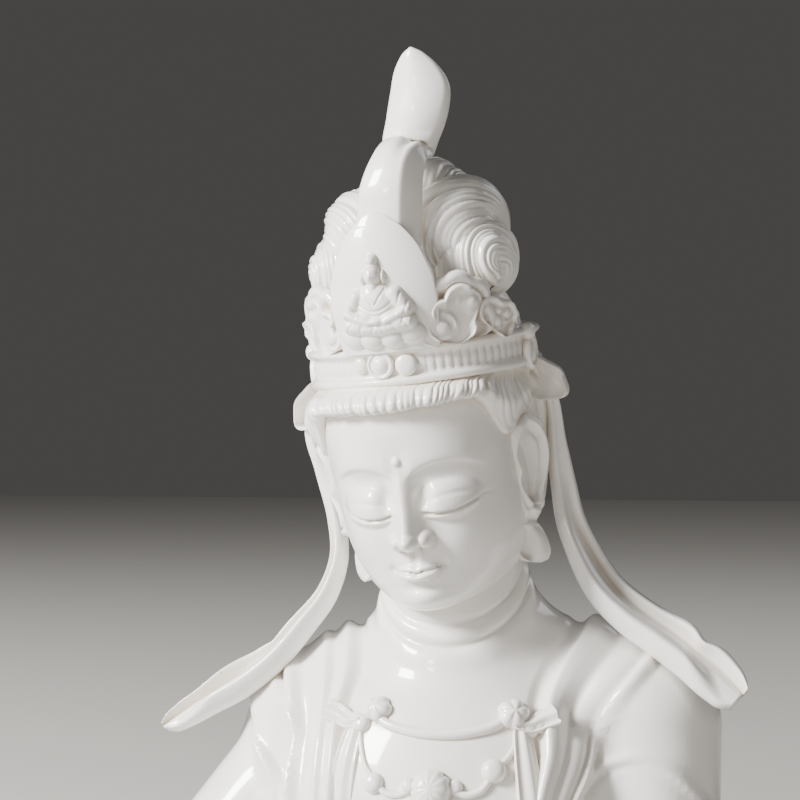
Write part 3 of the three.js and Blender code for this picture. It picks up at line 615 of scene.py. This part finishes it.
def under_bun_place(around, up):
    turned = from_front(around, 0)
    tilt = pi * (up - 0.5)
    high = under_bun_height * np.sin(tilt)
    comb = strands(np.abs(turned) * under_bun_radius / strand_width + 2.5 * np.sin(tilt))
    radius = (under_bun_radius + 1.8 * comb) * np.cos(tilt)
    lift = 24 * step(high, 0, 30) * step(np.cos(turned), 0.4, -1)
    x, y = radius * np.sin(turned), 2 - radius * np.cos(turned)
    return crown_pose.placed(x, y, 2 + high + lift)


fire("hair_under_bun", (260, 40, under_bun_place))


def body_and_head_form(p):
    skull = egg(head_pose.seen(p), (0, 1, 12), (head_half_width, skull_depth, 50))
    return melt(body_form(p), skull, 12)


def stadium(around, roundness, front=0.55, edge=0.2):
    """The section of a flat thing with rounded edges: shares across and out, by the turn."""
    turn, side = np.abs(around) / pi, np.sign(around)
    over = pi * clamp((turn - front) / edge)
    flat = np.minimum(np.minimum(turn / front, (1 - turn) / (1 - front - edge)), 1)
    across = (1 - roundness) * flat + roundness * np.sin(over) * (flat >= 1)
    return side * across, np.cos(over)


mane_thickness = 5
mane_places = [(0, 40, 146), (0, 40, 128), (1, 36, 108), (2, 50, 84), (2, 60, 58)]
mane_way = Way(onto(mane_places, body_and_head_form))
mane_half = [[0, 37], [0.25, 30], [0.5, 26], [0.8, 31], [1, 25]]
mane_locks = 6


def mane_place(around, up):
    across, out = stadium(around, 0.05)
    lock = (across + 1) / 2 * mane_locks
    bow = scallop(lock, 0.6)
    shorter = up - 0.09 * (1 - bow) * up**3
    middle = onto(mane_way.at(shorter), body_and_head_form, 3)
    sideways = unit(np.cross(mane_way.heading(shorter), outwards(middle, body_and_head_form)))
    wave = 1.6 * np.sin(9 * up + 0.5 * lock) * np.sqrt(up)
    aside = curve(mane_half, up) * across + wave
    foot = onto(middle + sideways * aside[:, None], body_and_head_form, 5)
    thick = mane_thickness * step(up, -0.1, 0.2) * (0.45 + 0.55 * bow)
    thick = thick * (1 - 0.75 * step(up, 0.72, 1))
    thick = thick + 0.9 * strands(lock * 4.5 + 0.8 * np.sin(6 * up + 2 * np.floor(lock)))
    sunk = 8 * (1 - step(up, 0, 0.22))
    lift = np.where(out > 0, thick * out, 3 * out) - sunk
    return foot + outwards(foot, body_and_head_form) * lift[:, None]


fire("hair_on_nape", (260, 100, mane_place))

# The crown
# A band between two rails with fine upright flutes, round bosses on its front and a rimmed
# rosette over each ear. Scrolled cloud plates stand on it all round, cut from sheets of clay with
# a knife and luted on with slip.
band_radius, band_height, band_middle = 44, 15, -2.4
half_band = band_height / 2
rail_width, rail_proud = 3.4, 1.6
flute_width, flute_depth = 1.75, 0.55
plate_thickness = 3.4
degrees_per_mm = 180 / (pi * band_radius)
# The band's section: its share up, millimetres out from the band's radius and up from its middle.
band_section = np.array([
    (0, -6, -half_band), (0.1, -0.3, -half_band), (0.15, 0.6, 0.25 - half_band),
    (0.2, 1.3, 0.9 - half_band), (0.25, rail_proud, 1.8 - half_band), (0.3, 1.3, 2.7 - half_band),
    (0.345, 0.5, rail_width - half_band), (0.375, 0, 4 - half_band), (0.5, 0.15, 0),
    (0.625, 0, half_band - 4), (0.655, 0.5, half_band - rail_width), (0.7, 1.5, half_band - 2.7),
    (0.75, rail_proud + 0.4, half_band - 1.8), (0.8, 1.5, half_band - 0.9),
    (0.85, 0.6, half_band - 0.2), (0.9, -0.6, half_band), (1, -6, half_band)])


def on_crown(degrees, height, out):
    """A place by degrees from the front to the figure's left, height over the crown's middle and
    distance out."""
    radius = band_radius + 0.06 * np.maximum(height, 0) + out
    return crown_pose.ring(np.radians(degrees), radius, height)


def band_place(around, up):
    turned = from_front(around, 0)
    out, high = (curve(band_section[:, [0, k]], up) for k in (1, 2))
    fluted = window(up, 0.35, 0.4, 0.6, 0.65) * step(np.abs(turned), 0.3, 0.4)
    cut = 1 - np.abs(np.cos(turned * band_radius / flute_width * pi / 2)) ** 0.7
    radius = band_radius + out - flute_depth * fluted * cut
    return crown_pose.ring(turned, radius, high + band_middle)


def boss(middle, facing, profile, petals=0, depth=0, squash=1):
    """A turned form on a surface. Its profile gives the radius and the height out in millimetres,
    from foot to top."""
    facing = unit(np.array(facing, float))
    aside = unit(np.cross((0, 0.05, 1), facing))
    above = np.cross(facing, aside)
    shares = np.linspace(0, 1, len(profile))
    radii, highs = (np.column_stack([shares, column]) for column in zip(*profile))

    def place(around, up):
        leaf = np.abs(np.cos(petals * around / 2)) ** 0.7
        radius = curve(radii, up) * (1 - depth + depth * leaf)
        high = curve(highs, up) * (1 - 0.6 * depth * (1 - leaf) * step(radius, 0.5, 2))
        across, over = radius * squash * np.cos(around), radius * np.sin(around)
        return middle + aside * across[:, None] + above * over[:, None] + facing * high[:, None]

    return 36, 20, place


def dome(radius, high, sink=1.5):
    return [(radius * 0.9, -sink), (radius, 0), (radius * 0.97, high * 0.35),
            (radius * 0.8, high * 0.7), (radius * 0.45, high * 0.94), (0.05, high)]


def crown_boss(degrees, height, out, profile, squash=1):
    facing = on_crown(degrees, 0, 10) - on_crown(degrees, 0, 0)
    return boss(on_crown(degrees, height, out), facing, profile, squash=squash)


ringed = [(5.4, -1), (5.5, 0.5), (5.2, 1.2), (4.5, 1.4), (3.9, 0.9), (3.4, 1.1), (2.4, 1.9),
          (1.1, 2.4), (0.05, 2.5)]
rosette = [(6.6, -1), (6.8, 0.8), (6.3, 2), (5.3, 2.3), (4.5, 1.5), (4, 1.3), (3.3, 2.1),
           (1.6, 2.8), (0.05, 2.9)]
bosses = [crown_boss(-2.7, -1.4, 0.4, ringed), crown_boss(-14, -1, 0.3, dome(3.2, 1.9)),
          crown_boss(10.3, -2.2, 0.3, dome(4.3, 2.2))]
for side in (LEFT, RIGHT):
    bosses.append(crown_boss(side * 84, -5, 0.6, rosette, 0.62))
    bosses.append(crown_boss(side * 83, 3.4, 1, dome(3.4, 3)))
fire("crown_band", (760, 46, band_place), *bosses)

# A plate's section, from its heart over the back to the edge and over the front: shares of the
# way out and of the thickness.
plate_ups = [0, 0.26, 0.32, 0.37, 0.42, 0.46, 1]
plate_shares = [0, 0.96, 0.985, 1, 0.985, 0.97, 0]
plate_faces = [-0.5, -0.5, -0.35, 0, 0.33, 0.48, 0.5]
cloud_foot = band_middle + half_band - 2
front_arch = [(-9.5, 9, 6), (-9.8, 16, 5.4), (-8.4, 21.6, 5.2), (-3.2, 24, 5.6), (3.2, 24.4, 7),
              (9.6, 21.2, 6.8), (12, 12, 6.5)]
inner_cloud = [(-5.6, 9.6, 4.7), (-4.2, 17, 4.5), (3.2, 20.4, 6.2), (7.3, 19.2, 4.2),
               (4.4, 9.8, 4.4)]
side_cloud = [(-5, 14.4, 5.7), (1.2, 12.6, 5.5), (3.8, 11.2, 3.7), (1, 7.2, 4.4)]
nape_cloud = [(-9, 6, 5.5), (-4.5, 11.5, 5.5), (3, 12.5, 6), (9, 7, 5.5)]
inner_curls = [(-4.6, 10.2, 3.4), (7.4, 18.6, 3)]
side_curls = [(-2.2, 9.8, 2.6), (2.6, 12, 2.4)]
nape_curls = [(1, 8, 2.8)]


def cloud(middle_degrees, mirror, discs, out, rim, recess, curls=()):
    """A plate whose outline wraps a few discs, given as places and radii in millimetres on the
    crown's drum, cut level at its foot. A roll runs along its edge, and curls are little spiral
    knobs on its face."""
    discs = np.array(discs, float)
    heart = np.array([discs[:, 0].mean(), cloud_foot])

    def place(around, up):
        ray = np.stack([np.cos(around + pi / 2), np.sin(around + pi / 2)], axis=-1)
        reach = np.full(len(up), 0.5)
        for x, z, radius in discs:
            to = (x, z) - heart
            along = ray @ to
            inside = radius**2 - (to @ to - along**2)
            hit = np.where(inside > 0, along + np.sqrt(np.maximum(inside, 0)), 0)
            reach = swell(reach, hit, 0.5)
        share = np.interp(up, plate_ups, plate_shares)
        face = np.interp(up, plate_ups, plate_faces)
        spot = heart + ray * (reach * share)[:, None]
        from_edge = np.minimum(reach * (1 - share), 30)
        front = step(up, 0.4, 0.47)
        roll = 1.5 * hill(from_edge, rim, rim * 0.8)
        lift = front * (roll - recess * step(from_edge, rim * 1.25, rim * 2.1))
        for x, z, radius in curls:
            away = spot - (x, z)
            far, turned = length(away) + 1e-6, np.arctan2(away[:, 1], away[:, 0])
            raised = 1.3 * clamp(1 - (far / (radius * 0.8)) ** 2) ** 0.5
            hook = 1.2 * hill(far, radius * (1.5 + turned / 14), 0.7) * step(turned, -2.6, -1.6)
            lift = lift * step(far, radius, radius * 1.6) + front * (raised + hook)
        height = np.maximum(spot[:, 1], cloud_foot - 1 + 0.001 * spot[:, 1])
        degrees = middle_degrees + mirror * spot[:, 0] * degrees_per_mm
        return on_crown(degrees, height, out + plate_thickness * face + lift)

    return 140, 36, place


clouds = []
for side, inward in ((LEFT, 0), (RIGHT, 2.6)):
    clouds.append(cloud(side * 36, side, front_arch, -0.6 - 0.6 * inward, 3.2, 1.7))
    clouds.append(cloud(side * 36, side, inner_cloud, 0.7 - 0.6 * inward, 1.9, 1.1, inner_curls))
    clouds.append(cloud(side * 62, side, side_cloud, -inward, 1.7, 0.8, side_curls))
    clouds.append(cloud(side * 161, side, nape_cloud, 0, 1.9, 0.7, nape_curls))
fire("crown_clouds", *clouds)

# The plaque
# A smooth ogive shield, pressed in a mould with a small figure seated on a cloud base in relief,
# and luted to the front of the band. Its broad face is left plain to carry the gloss.
plaque_height, plaque_half_width, plaque_middle = 57, 20.5, 3
plaque_widths = [[0, 0.97], [0.2, 1], [0.4, 1], [0.534, 0.96], [0.61, 0.9], [0.763, 0.75],
                 [0.825, 0.64], [0.88, 0.52], [0.94, 0.33], [0.98, 0.17], [1, 0.02]]
figure_aside, figure_level, figure_face, figure_size = -1.2, 33.7, 36.4, 0.88


def limb(x, z, start, end, radius, high):
    spots, along = np.stack([x, z], axis=-1) - start, np.subtract(end, start)
    share = clamp(spots @ along / (along @ along))
    far = length(spots - share[:, None] * along)
    return high * np.sqrt(clamp(1 - (far / radius) ** 2))


def seated_figure(x, z):
    """The height of the relief over the plaque's face, by millimetres across and over the crown's
    middle."""
    x, z = (x - figure_aside) / figure_size, figure_face + (z - figure_level) / figure_size
    side = np.abs(x)
    lotus = np.maximum(knob(side, z, 12.4, 9.2, 6, 5.2, 3.6), knob(side, z, 4.4, 8, 5.4, 4.8, 4))
    shins = limb(side, z, (11.6, 14), (1, 12.6), 3.6, 6.4)
    thighs = limb(side, z, (5, 17), (11.2, 14.8), 4.2, 6.2)
    trunk = knob(x, z, 0, 22, 8.6, 11.5, 5.4)
    upper_arm = limb(side, z, (7.6, 27.2), (11.6, 20.5), 3.5, 5.4)
    forearm = limb(side, z, (11.4, 19.8), (3.2, 15.6), 3, 7)
    hands = knob(x, z, 0, 16, 4.4, 2.2, 7.8)
    neck = knob(x, z, 0, 31.2, 2.3, 3.4, 4.6)
    skull = knob(x, z, 0, 36.4, 3.6, 5.4, 6.6)
    ears = knob(side, z, 4.1, 35, 1, 3.2, 3.6)
    topknot = knob(x, z, 0, 42.4, 2.6, 3, 5)
    nose = 0.55 * bump(x, z, 0, 35.6, 0.6, 1.3)
    eyes = -0.3 * bump(side, z, 1.6, 36.8, 0.9, 0.35)
    mouth = -0.3 * bump(x, z, 0, 33.4, 1, 0.3)
    hairline = -0.35 * hill(z - 39.4 + 0.06 * x**2, 0, 0.35) * (side < 3.7)
    collar = -0.7 * hill(z - 22.5 - 1.7 * side, 0, 0.55) * (side < 4.5) * step(z, 22, 24)
    sash = hill(z - 20.5 - 0.09 * x**2, 0, 0.5) + hill(z - 18.4 - 0.08 * x**2, 0, 0.5)
    sleeve = np.abs(np.sin(0.9 * (side - 0.3 * z))) ** 10 * step(side, 7, 8)
    folds = np.abs(np.sin(0.62 * side + 0.3 * z)) ** 12 * window(z, 10.5, 12, 14.5, 16)
    cuts = collar - 0.55 * sash * (side < 6.5)
    cuts = cuts - 0.45 * sleeve * (z < 28) * step(z, 13, 15) - 0.4 * folds
    high = swell(swell(trunk, upper_arm, 1.2), swell(shins, thighs, 2), 1.2)
    high = swell(swell(high, forearm, 1), np.maximum(hands, neck), 0.8)
    high = high + cuts * step(high, 0.5, 3)
    head = skull + (nose + eyes + mouth + hairline) * (skull > 1)
    return figure_size**2 * np.maximum.reduce([high, head, ears, topknot, lotus, 0 * x])


def plaque_place(around, up):
    across, face = stadium(around, 0.06, front=0.66, edge=0.14)
    rise = np.minimum(up, 1 - 1e-9)
    half = plaque_half_width * curve(plaque_widths, rise)
    height = cloud_foot + (plaque_height - cloud_foot) * rise
    arch = 2.6 * np.sin(pi * np.minimum(1, 1.1 * rise)) - 4.6 * rise**3
    arch -= (0.6 + 1.6 * rise) * np.abs(across) ** 2.4 * np.minimum(1, 4 * (1 - rise))
    thick = plate_thickness * np.minimum(1, 7 * (1 - rise) + 0.25)
    relief = np.where(face > 0.9, seated_figure(across * half, height), 0)
    degrees = plaque_middle + across * half * degrees_per_mm
    return on_crown(degrees, height, arch + thick / 2 * face + relief)


fire("crown_plaque", (260, 160, plaque_place))

# The tall leaf
# One thick tongue of clay, rolled and bent over a former: it rises behind the plaque, arches back
# over the bun and stands up again to a point. Its faces are a little convex and its edges were
# rounded with a wet sponge.
leaf_height, leaf_half_width, leaf_thickness = 117.5, 12, 5
# Each place is a share of the leaf's height, a share of the band's radius forward, and
# millimetres to the left.
leaf_path = [(0.1, 0.75, 2), (0.3, 0.84, 3.5), (0.46, 0.865, 5.5), (0.56, 0.85, 7.3),
             (0.62, 0.795, 9), (0.665, 0.705, 10.6), (0.682, 0.59, 11), (0.668, 0.477, 10.2),
             (0.66, 0.386, 9.6), (0.706, 0.318, 10.8), (0.783, 0.295, 14), (0.868, 0.284, 16),
             (0.936, 0.307, 15.7), (1, 0.352, 15.2)]
leaf_widths = [[0, 0.92], [0.19, 0.96], [0.344, 1], [0.42, 0.98], [0.5, 0.86], [0.56, 0.76],
               [0.62, 0.74], [0.674, 0.86], [0.718, 1], [0.79, 1.06], [0.872, 1], [0.905, 0.89],
               [0.937, 0.72], [0.965, 0.5], [0.985, 0.29], [1, 0.03]]
leaf_way = Way([(aside, -forward * band_radius, height * leaf_height)
                for height, forward, aside in leaf_path])


def leaf_place(around, up):
    half = leaf_half_width * curve(leaf_widths, up)
    thick = leaf_thickness * np.minimum(1, 0.2 + 4 * (1 - up))
    across, face = stadium(around, np.minimum(0.8 * thick / 2 / np.maximum(half, 0.5), 0.6))
    middle, along = leaf_way.at(up), leaf_way.heading(up)
    facing = unit(np.stack([0 * up, -along[:, 2], along[:, 1]], axis=-1))
    lower = 1 - step(up, 0.56, 0.72)
    arched = mix(5, 2.6, lower) * (1 - across**2) * half / leaf_half_width
    turned_side = -7.5 * lower * step(up, 0.1, 0.3) * step(across, 0.5, 1.15)
    channel = -3.2 * hill(up, 0.585, 0.055) * hill(across, 0.42, 0.3)
    spot = middle + facing * (thick / 2 * face + arched + turned_side + channel)[:, None]
    spot[:, 0] += half * across
    return crown_pose.placed(*spot.T)


fire("crown_leaf", (80, 170, leaf_place))

# The ribbons
# Two long ribbons of rolled clay that fall from the crown past the neck and flare over the
# shoulders. Each is about 3 mm thick, folded lengthwise while leather hard, and held clear of the
# shoulder in the kiln by a prop.
ribbon_thickness = 3
left_reach, right_reach = 116, 118
# Each place is the way out as a share of the reach, and the millimetres back and up.
left_ribbon = [(0.354, -14, 182), (0.366, -8, 162), (0.378, -4, 147), (0.403, -3, 132),
               (0.446, -4, 121), (0.534, -7, 106), (0.623, -9, 97), (0.728, -10, 89),
               (0.827, -11, 81), (0.914, -12, 73), (1, -13, 65)]
right_ribbon = [(0.49, -9, 168), (0.463, -5, 152), (0.42, -4, 132), (0.408, -6, 118),
                (0.449, -8, 103), (0.527, -10, 91), (0.626, -12, 78), (0.735, -13, 68),
                (0.865, -14, 59), (1, -15, 48)]
# Half widths in millimetres inside the middle line and outside it, by the share along.
left_inner = [[0, 3], [0.12, 3], [0.3, 4.5], [0.45, 6], [0.6, 8.4], [0.74, 9.6], [0.86, 10],
              [0.94, 10], [0.98, 8.6], [1, 6]]
left_outer = [[0, 3], [0.12, 3], [0.3, 5.5], [0.45, 7.5], [0.6, 9.6], [0.74, 10.8], [0.82, 10.4],
              [0.85, 8.6], [0.885, 10.6], [0.94, 10], [0.975, 8], [1, 5]]
right_inner = [[0, 3], [0.15, 3], [0.4, 4.2], [0.55, 6.5], [0.7, 8], [0.85, 8], [0.94, 6.4],
               [0.985, 3.4], [1, 1]]
right_outer = [[0, 3], [0.15, 3], [0.4, 4.2], [0.55, 6.5], [0.64, 7.6], [0.675, 7], [0.7, 8.4],
               [0.84, 8], [0.88, 6], [0.95, 5], [0.985, 3.4], [1, 1]]


def ribbon_place(side, reach, places, inner, outer):
    root = on_crown(side * 96, band_middle - half_band, -1)
    way = Way([root] + [(side * out * reach, back, up) for out, back, up in places])

    def place(around, up):
        across, face = stadium(around, 0.1, front=0.42, edge=0.12)
        w = -across * side
        half = np.where(w < 0, curve(inner, up), curve(outer, up))
        middle, along = way.at(up), way.heading(up)
        facing = np.stack([side * mix(0.3, 0.28, up), -1 + 0 * up, mix(0.05, 0.45, up)], axis=-1)
        sideways = unit(np.cross(along, facing))
        facing = unit(np.cross(sideways, along))
        lower = step(up, 0.25, 0.6)
        opened = step(up + 0.1 * w, 0.8, 0.92)
        front_roll = 4.8 * hill(w, -0.42, 0.4) * mix(0.3, 1, lower) * (1 - 0.75 * opened)
        fall = -6 * step(w, -0.05, 0.4) * lower * (1 - 0.3 * opened)
        back_roll = 2.6 * hill(w, 0.72, 0.2) * lower
        turned_in = -2.6 * step(np.abs(w), 0.75, 1.1)
        curl = opened * (2.4 * w + 2.6 * w**2 - 1)
        out = front_roll + fall + back_roll + turned_in + curl + ribbon_thickness / 2 * face
        return middle + sideways * (half * across)[:, None] + facing * out[:, None]

    return place


fire("ribbons",
     (90, 180, ribbon_place(LEFT, left_reach, left_ribbon, left_inner, left_outer)),
     (90, 180, ribbon_place(RIGHT, right_reach, right_ribbon, right_inner, right_outer)))

# The bow at each side is one puffed loop of ribbon that hangs from the crown like a shell, open
# to the front, with fine pleats along its back edge.
bow_length, bow_depth, bow_wall = 23, 14, 2.8
bow_tilt = 42
bow_lip = 0.56
bow_places = {LEFT: (45.5, 4, -14.5), RIGHT: (-48.5, 2, -17.5)}


def bow_place(side):
    tilt = radians(bow_tilt)
    outer_end = np.array([side * np.cos(tilt), 0, -np.sin(tilt)])
    upper_side = np.array([side * np.sin(tilt), 0, np.cos(tilt)])

    def place(around, up):
        # from the middle of the back over the outside to the lip, then down into the hollow
        over_back = clamp(up / bow_lip) * pi / 2
        into = clamp((up - bow_lip) / (1 - bow_lip))
        inner_ring = 1 - 0.12 * np.sin(into * pi / 2) - 0.88 * into**2
        ring = np.where(up < bow_lip, np.sin(over_back) ** 0.8, inner_ring)
        depth = np.where(up < bow_lip, np.cos(over_back), 0)
        depth = depth - 0.12 * np.sin(clamp(into * 5) * pi)
        hollow = (bow_depth - 2 * bow_wall) * np.sqrt(clamp(1 - (ring / 0.9) ** 2))
        lobed = 1 + 0.08 * np.cos(around) + 0.05 * np.cos(2 * around + 0.6)
        pleats = 0.5 * np.cos(5.5 * around) * mix(step(ring, 0.4, 0.9), ring, into)
        along = (bow_length / 2 * lobed + pleats) * ring * np.cos(around)
        over = (bow_length / 2 * 0.64 * lobed + 0.6 * pleats) * ring * np.sin(around)
        back = bow_depth * (0.9 * depth - 0.5) + hollow * (into > 0)
        back = back + 4 * (along / bow_length) ** 2
        spot = bow_places[side] + outer_end * along[:, None] + upper_side * over[:, None]
        spot[:, 1] += back + 0.35 * side * (spot[:, 0] - bow_places[side][0])
        return crown_pose.placed(*spot.T)

    return place


fire("bows", *[(90, 90, bow_place(side)) for side in (LEFT, RIGHT)])

# The ears
# Long-lobed ears, modelled on the cast head with a small wooden tool. The lobe is pinched, then
# flares like a bell.
ear_length, ear_top = 60, 16
ear_front, ear_back = (-18.5, -14), (0.5, -2)
# How far the ear's two edges stand out from the head's middle plane, by its share down.
front_out = [[0, 37.5], [0.1, 37], [0.25, 35.6], [0.5, 34.2], [0.66, 34.6], [0.76, 32.4],
             [0.9, 30.6], [1, 30.4]]
back_out = [[0, 45.2], [0.1, 45.6], [0.25, 44.8], [0.4, 42.4], [0.5, 40.6], [0.62, 39.6],
            [0.7, 36.8], [0.8, 38.2], [0.92, 38.8], [1, 37.6]]
ear_outline = [[0, 0.2], [0.02, 0.5], [0.06, 0.76], [0.13, 0.95], [0.25, 1], [0.5, 0.98],
               [0.62, 0.94], [0.67, 0.8], [0.71, 0.76], [0.77, 0.86], [0.88, 1], [0.95, 0.97],
               [0.985, 0.75], [1, 0.3]]


def ear_place(side):
    def place(around, up):
        across, face = stadium(around, 0.14, front=0.66, edge=0.14)
        wide = across * curve(ear_outline, up)
        share = (wide + 1) / 2
        inside = np.sqrt(((across + 0.04) / 0.8) ** 2 + ((up - 0.32) / 0.29) ** 2)
        bowl = -2.2 * (1 - step(inside, 0.72, 1))
        rim = 1.9 * hill(inside, 1.06, 0.17) * step(across, -1.2, -0.4)
        ridge_line = 0.16 + 0.3 * np.sin(pi * clamp((up - 0.12) / 0.42))
        inner_ridge = 1.9 * hill(across, ridge_line, 0.2) * window(up, 0.1, 0.2, 0.48, 0.6)
        concha = -2.8 * bump(across, up, -0.3, 0.37, 0.34, 0.13)
        hole = -2.4 * bump(across, up, -0.5, 0.34, 0.11, 0.035)
        tragus = 2.2 * bump(across, up, -0.84, 0.37, 0.18, 0.06)
        pocket = -1.8 * hill(up - 0.03 * across**2, 0.615, 0.013) * hill(across, 0.2, 0.6)
        bulb = 1.4 * hill(up, 0.655, 0.03) * (1 - across**2)
        pinch = -1.4 * hill(up, 0.715, 0.016)
        bell = 1.2 * (1 - across**2) - 4.2 * hill(across, -0.5, 0.45)
        bell = bell * step(up, 0.73, 0.84) * (1 - 0.8 * step(up, 0.94, 1))
        relief = bowl + rim + inner_ridge + concha + hole + tragus + pocket + bulb + pinch + bell
        # the ear's plane faces out and forward
        high = 2.4 * step(up, -0.01, 0.08) * face + relief * np.maximum(face, 0)
        out = mix(curve(front_out, up), curve(back_out, up), share) + 0.88 * high
        back = mix(mix(*ear_front, up), mix(*ear_back, up), share) - 0.48 * high
        return head_pose.placed(side * out, back, ear_top - ear_length * up - 2.2 * wide)

    return place


fire("ears", *[(110, 140, ear_place(side)) for side in (LEFT, RIGHT)])

# The jewels
# Strings, beads and knotted sashes of the necklace, rolled and pressed from soft clay and luted
# to the chest.
chest_middle = 2
# Places across and up on the chest: a string's way, radius, columns and rows.
strings = [
    ([(-30, 66.5), (-25, 61), (-14, 56.3), (1, 54.2), (16, 56), (27, 60.5), (35, 67)], 2, 20, 110),
    ([(-24, 33), (-19, 29), (-13, 28.4), (-9, 30)], 1.4, 14, 60),
    ([(24, 36), (20, 31), (14, 29), (9, 30)], 1.5, 14, 60),
    ([(-36, 56), (-33, 47), (-29, 39), (-25, 35)], 1.1, 14, 60),
    ([(37, 54), (32, 46), (27, 41)], 1.2, 14, 60),
]
# A bead's place, radius, number of petals and how deep they are cut.
beads = [(-28.5, 67, 5.8, 5, 0.2), (35.5, 67, 6.6, 5, 0.2), (-36.5, 60.5, 4, 0, 0),
         (43.5, 61.5, 4, 0, 0), (49.5, 64.5, 4.2, 0, 0), (-25, 33, 4.2, 0, 0),
         (25.5, 39.5, 4.8, 0, 0), (-9.5, 32, 3, 0, 0), (9.5, 32, 3, 0, 0),
         (0, 30.5, 8.2, 11, 0.1)]
string_sink = 0.25


def on_chest(pairs, out=0):
    """Places on the clothed chest, by millimetres across and up."""
    bare = onto([(chest_middle + x, -55, z) for x, z in pairs])
    return bare + outwards(bare) * (cloth(bare) + out)[:, None]


def lying(way, up):
    """Places along a way on the chest, the side that they face and the one across the way."""
    middle = way.at(up)
    facing = outwards(middle)
    return middle, facing, unit(np.cross(way.heading(up), facing))


def string(pairs, radius, columns, rows):
    way = Way(on_chest(pairs))

    def place(around, up):
        middle, facing, sideways = lying(way, up)
        from_end = ((np.abs(2 * up - 1) - 0.96) / 0.04).clip(0)
        thick = radius * np.sqrt(np.clip(1 - from_end**2, 0.02, 1))
        out = thick * np.sin(around) + string_sink * radius
        return middle + sideways * (thick * np.cos(around))[:, None] + facing * out[:, None]

    return columns, rows, place


def bead(x, z, radius, petals, depth):
    middle = on_chest([(x, z)])[0]
    facing = outwards(middle[None])[0]
    return boss(middle, facing, dome(radius, radius * 0.85, 1), petals, depth)


fire("necklace", *[string(*each) for each in strings], *[bead(*each) for each in beads])


def sash_place(way, half_start, half_end):
    def place(around, up):
        across, face = stadium(around, 0.12)
        middle, facing, sideways = lying(way, up)
        half = mix(half_start, half_end, np.sqrt(up))
        rolls = 1 + 0.65 * np.cos(4.6 * across + 0.6) + 0.3 * across
        out = np.where(face > 0, 1.2 * face + rolls * face, 2 * face)
        return middle + sideways * (half * across)[:, None] + facing * out[:, None]

    return place


sashes = []
for side in (LEFT, RIGHT):
    falling = [(side * 39, 60), (side * 40.5, 42), (side * 42, 22), (side * 43, 0.5)]
    bow_tail = [(side * 36, 62), (side * 43, 62), (side * 50, 65.5), (side * 56, 68)]
    sashes.append((60, 90, sash_place(Way(on_chest(falling)), 3, 6.5)))
    sashes.append((40, 40, sash_place(Way(on_chest(bow_tail, 1)), 2, 4.5)))
fire("sashes", *sashes)

# The studio
# A pale floor far wider than the view, a softbox high on the left in front with a small lamp
# under it for the glints, and weak fills on the right and behind.
camera_turn = 14
camera_distance = 1.3
lens, film_width = 146.25, 36
aim = (-22.1, -5.5, 180)
floor_colour, floor_width = "#BAB8B4", 9
air_colour, air_strength = "#EFEAE5", 0.08
lamps = [
    ("key", (-1.7, -1.4, 1.25), (0, 0, 0.18), 0.65, 208, "#FFFDFA"),
    ("glint", (-0.9, -2, 0.5), (0, 0, 0.2), 0.25, 8, "#FFFDFA"),
    ("fill", (1.5, -1.2, 0.5), (0, 0, 0.17), 1.2, 2.5, "#FFEFE0"),
    ("behind", (1, 1.4, 1), (0, 0, 0.2), 0.8, 4, "#F4F8FF"),
]
scene = bpy.context.scene

paper = bpy.data.materials.new("matt_paper")
paper.use_nodes = True
fill(paper.node_tree.nodes["Principled BSDF"], {
    "Base Color": linear(floor_colour), "Roughness": 0.9})
sheet = bmesh.new()
bmesh.ops.create_grid(sheet, x_segments=8, y_segments=8, size=floor_width / 2)
floor_mesh = bpy.data.meshes.new("floor")
sheet.to_mesh(floor_mesh)
sheet.free()
floor_mesh.materials.append(paper)
floor = bpy.data.objects.new("floor", floor_mesh)
scene.collection.objects.link(floor)

world = bpy.data.worlds.new("studio_air")
world.use_nodes = True
fill(world.node_tree.nodes["Background"], {
    "Color": linear(air_colour), "Strength": air_strength})
scene.world = world

for name, place, target, size, power, colour in lamps:
    light = bpy.data.lights.new(name, "AREA")
    light.size, light.energy, light.color = size, power, linear(colour)[:3]
    lamp = bpy.data.objects.new(name, light)
    lamp.location = place
    lamp.rotation_euler = (Vector(target) - Vector(place)).to_track_quat("-Z", "Y").to_euler()
    scene.collection.objects.link(lamp)

view_along = Vector((-np.sin(radians(camera_turn)), np.cos(radians(camera_turn)), 0))
camera = bpy.data.objects.new("camera", bpy.data.cameras.new("camera"))
camera.data.lens, camera.data.sensor_width = lens, film_width
camera.data.clip_end = 20
camera.location = Vector(aim) * MM - view_along * camera_distance
camera.rotation_euler = view_along.to_track_quat("-Z", "Y").to_euler()
scene.collection.objects.link(camera)
scene.camera = camera
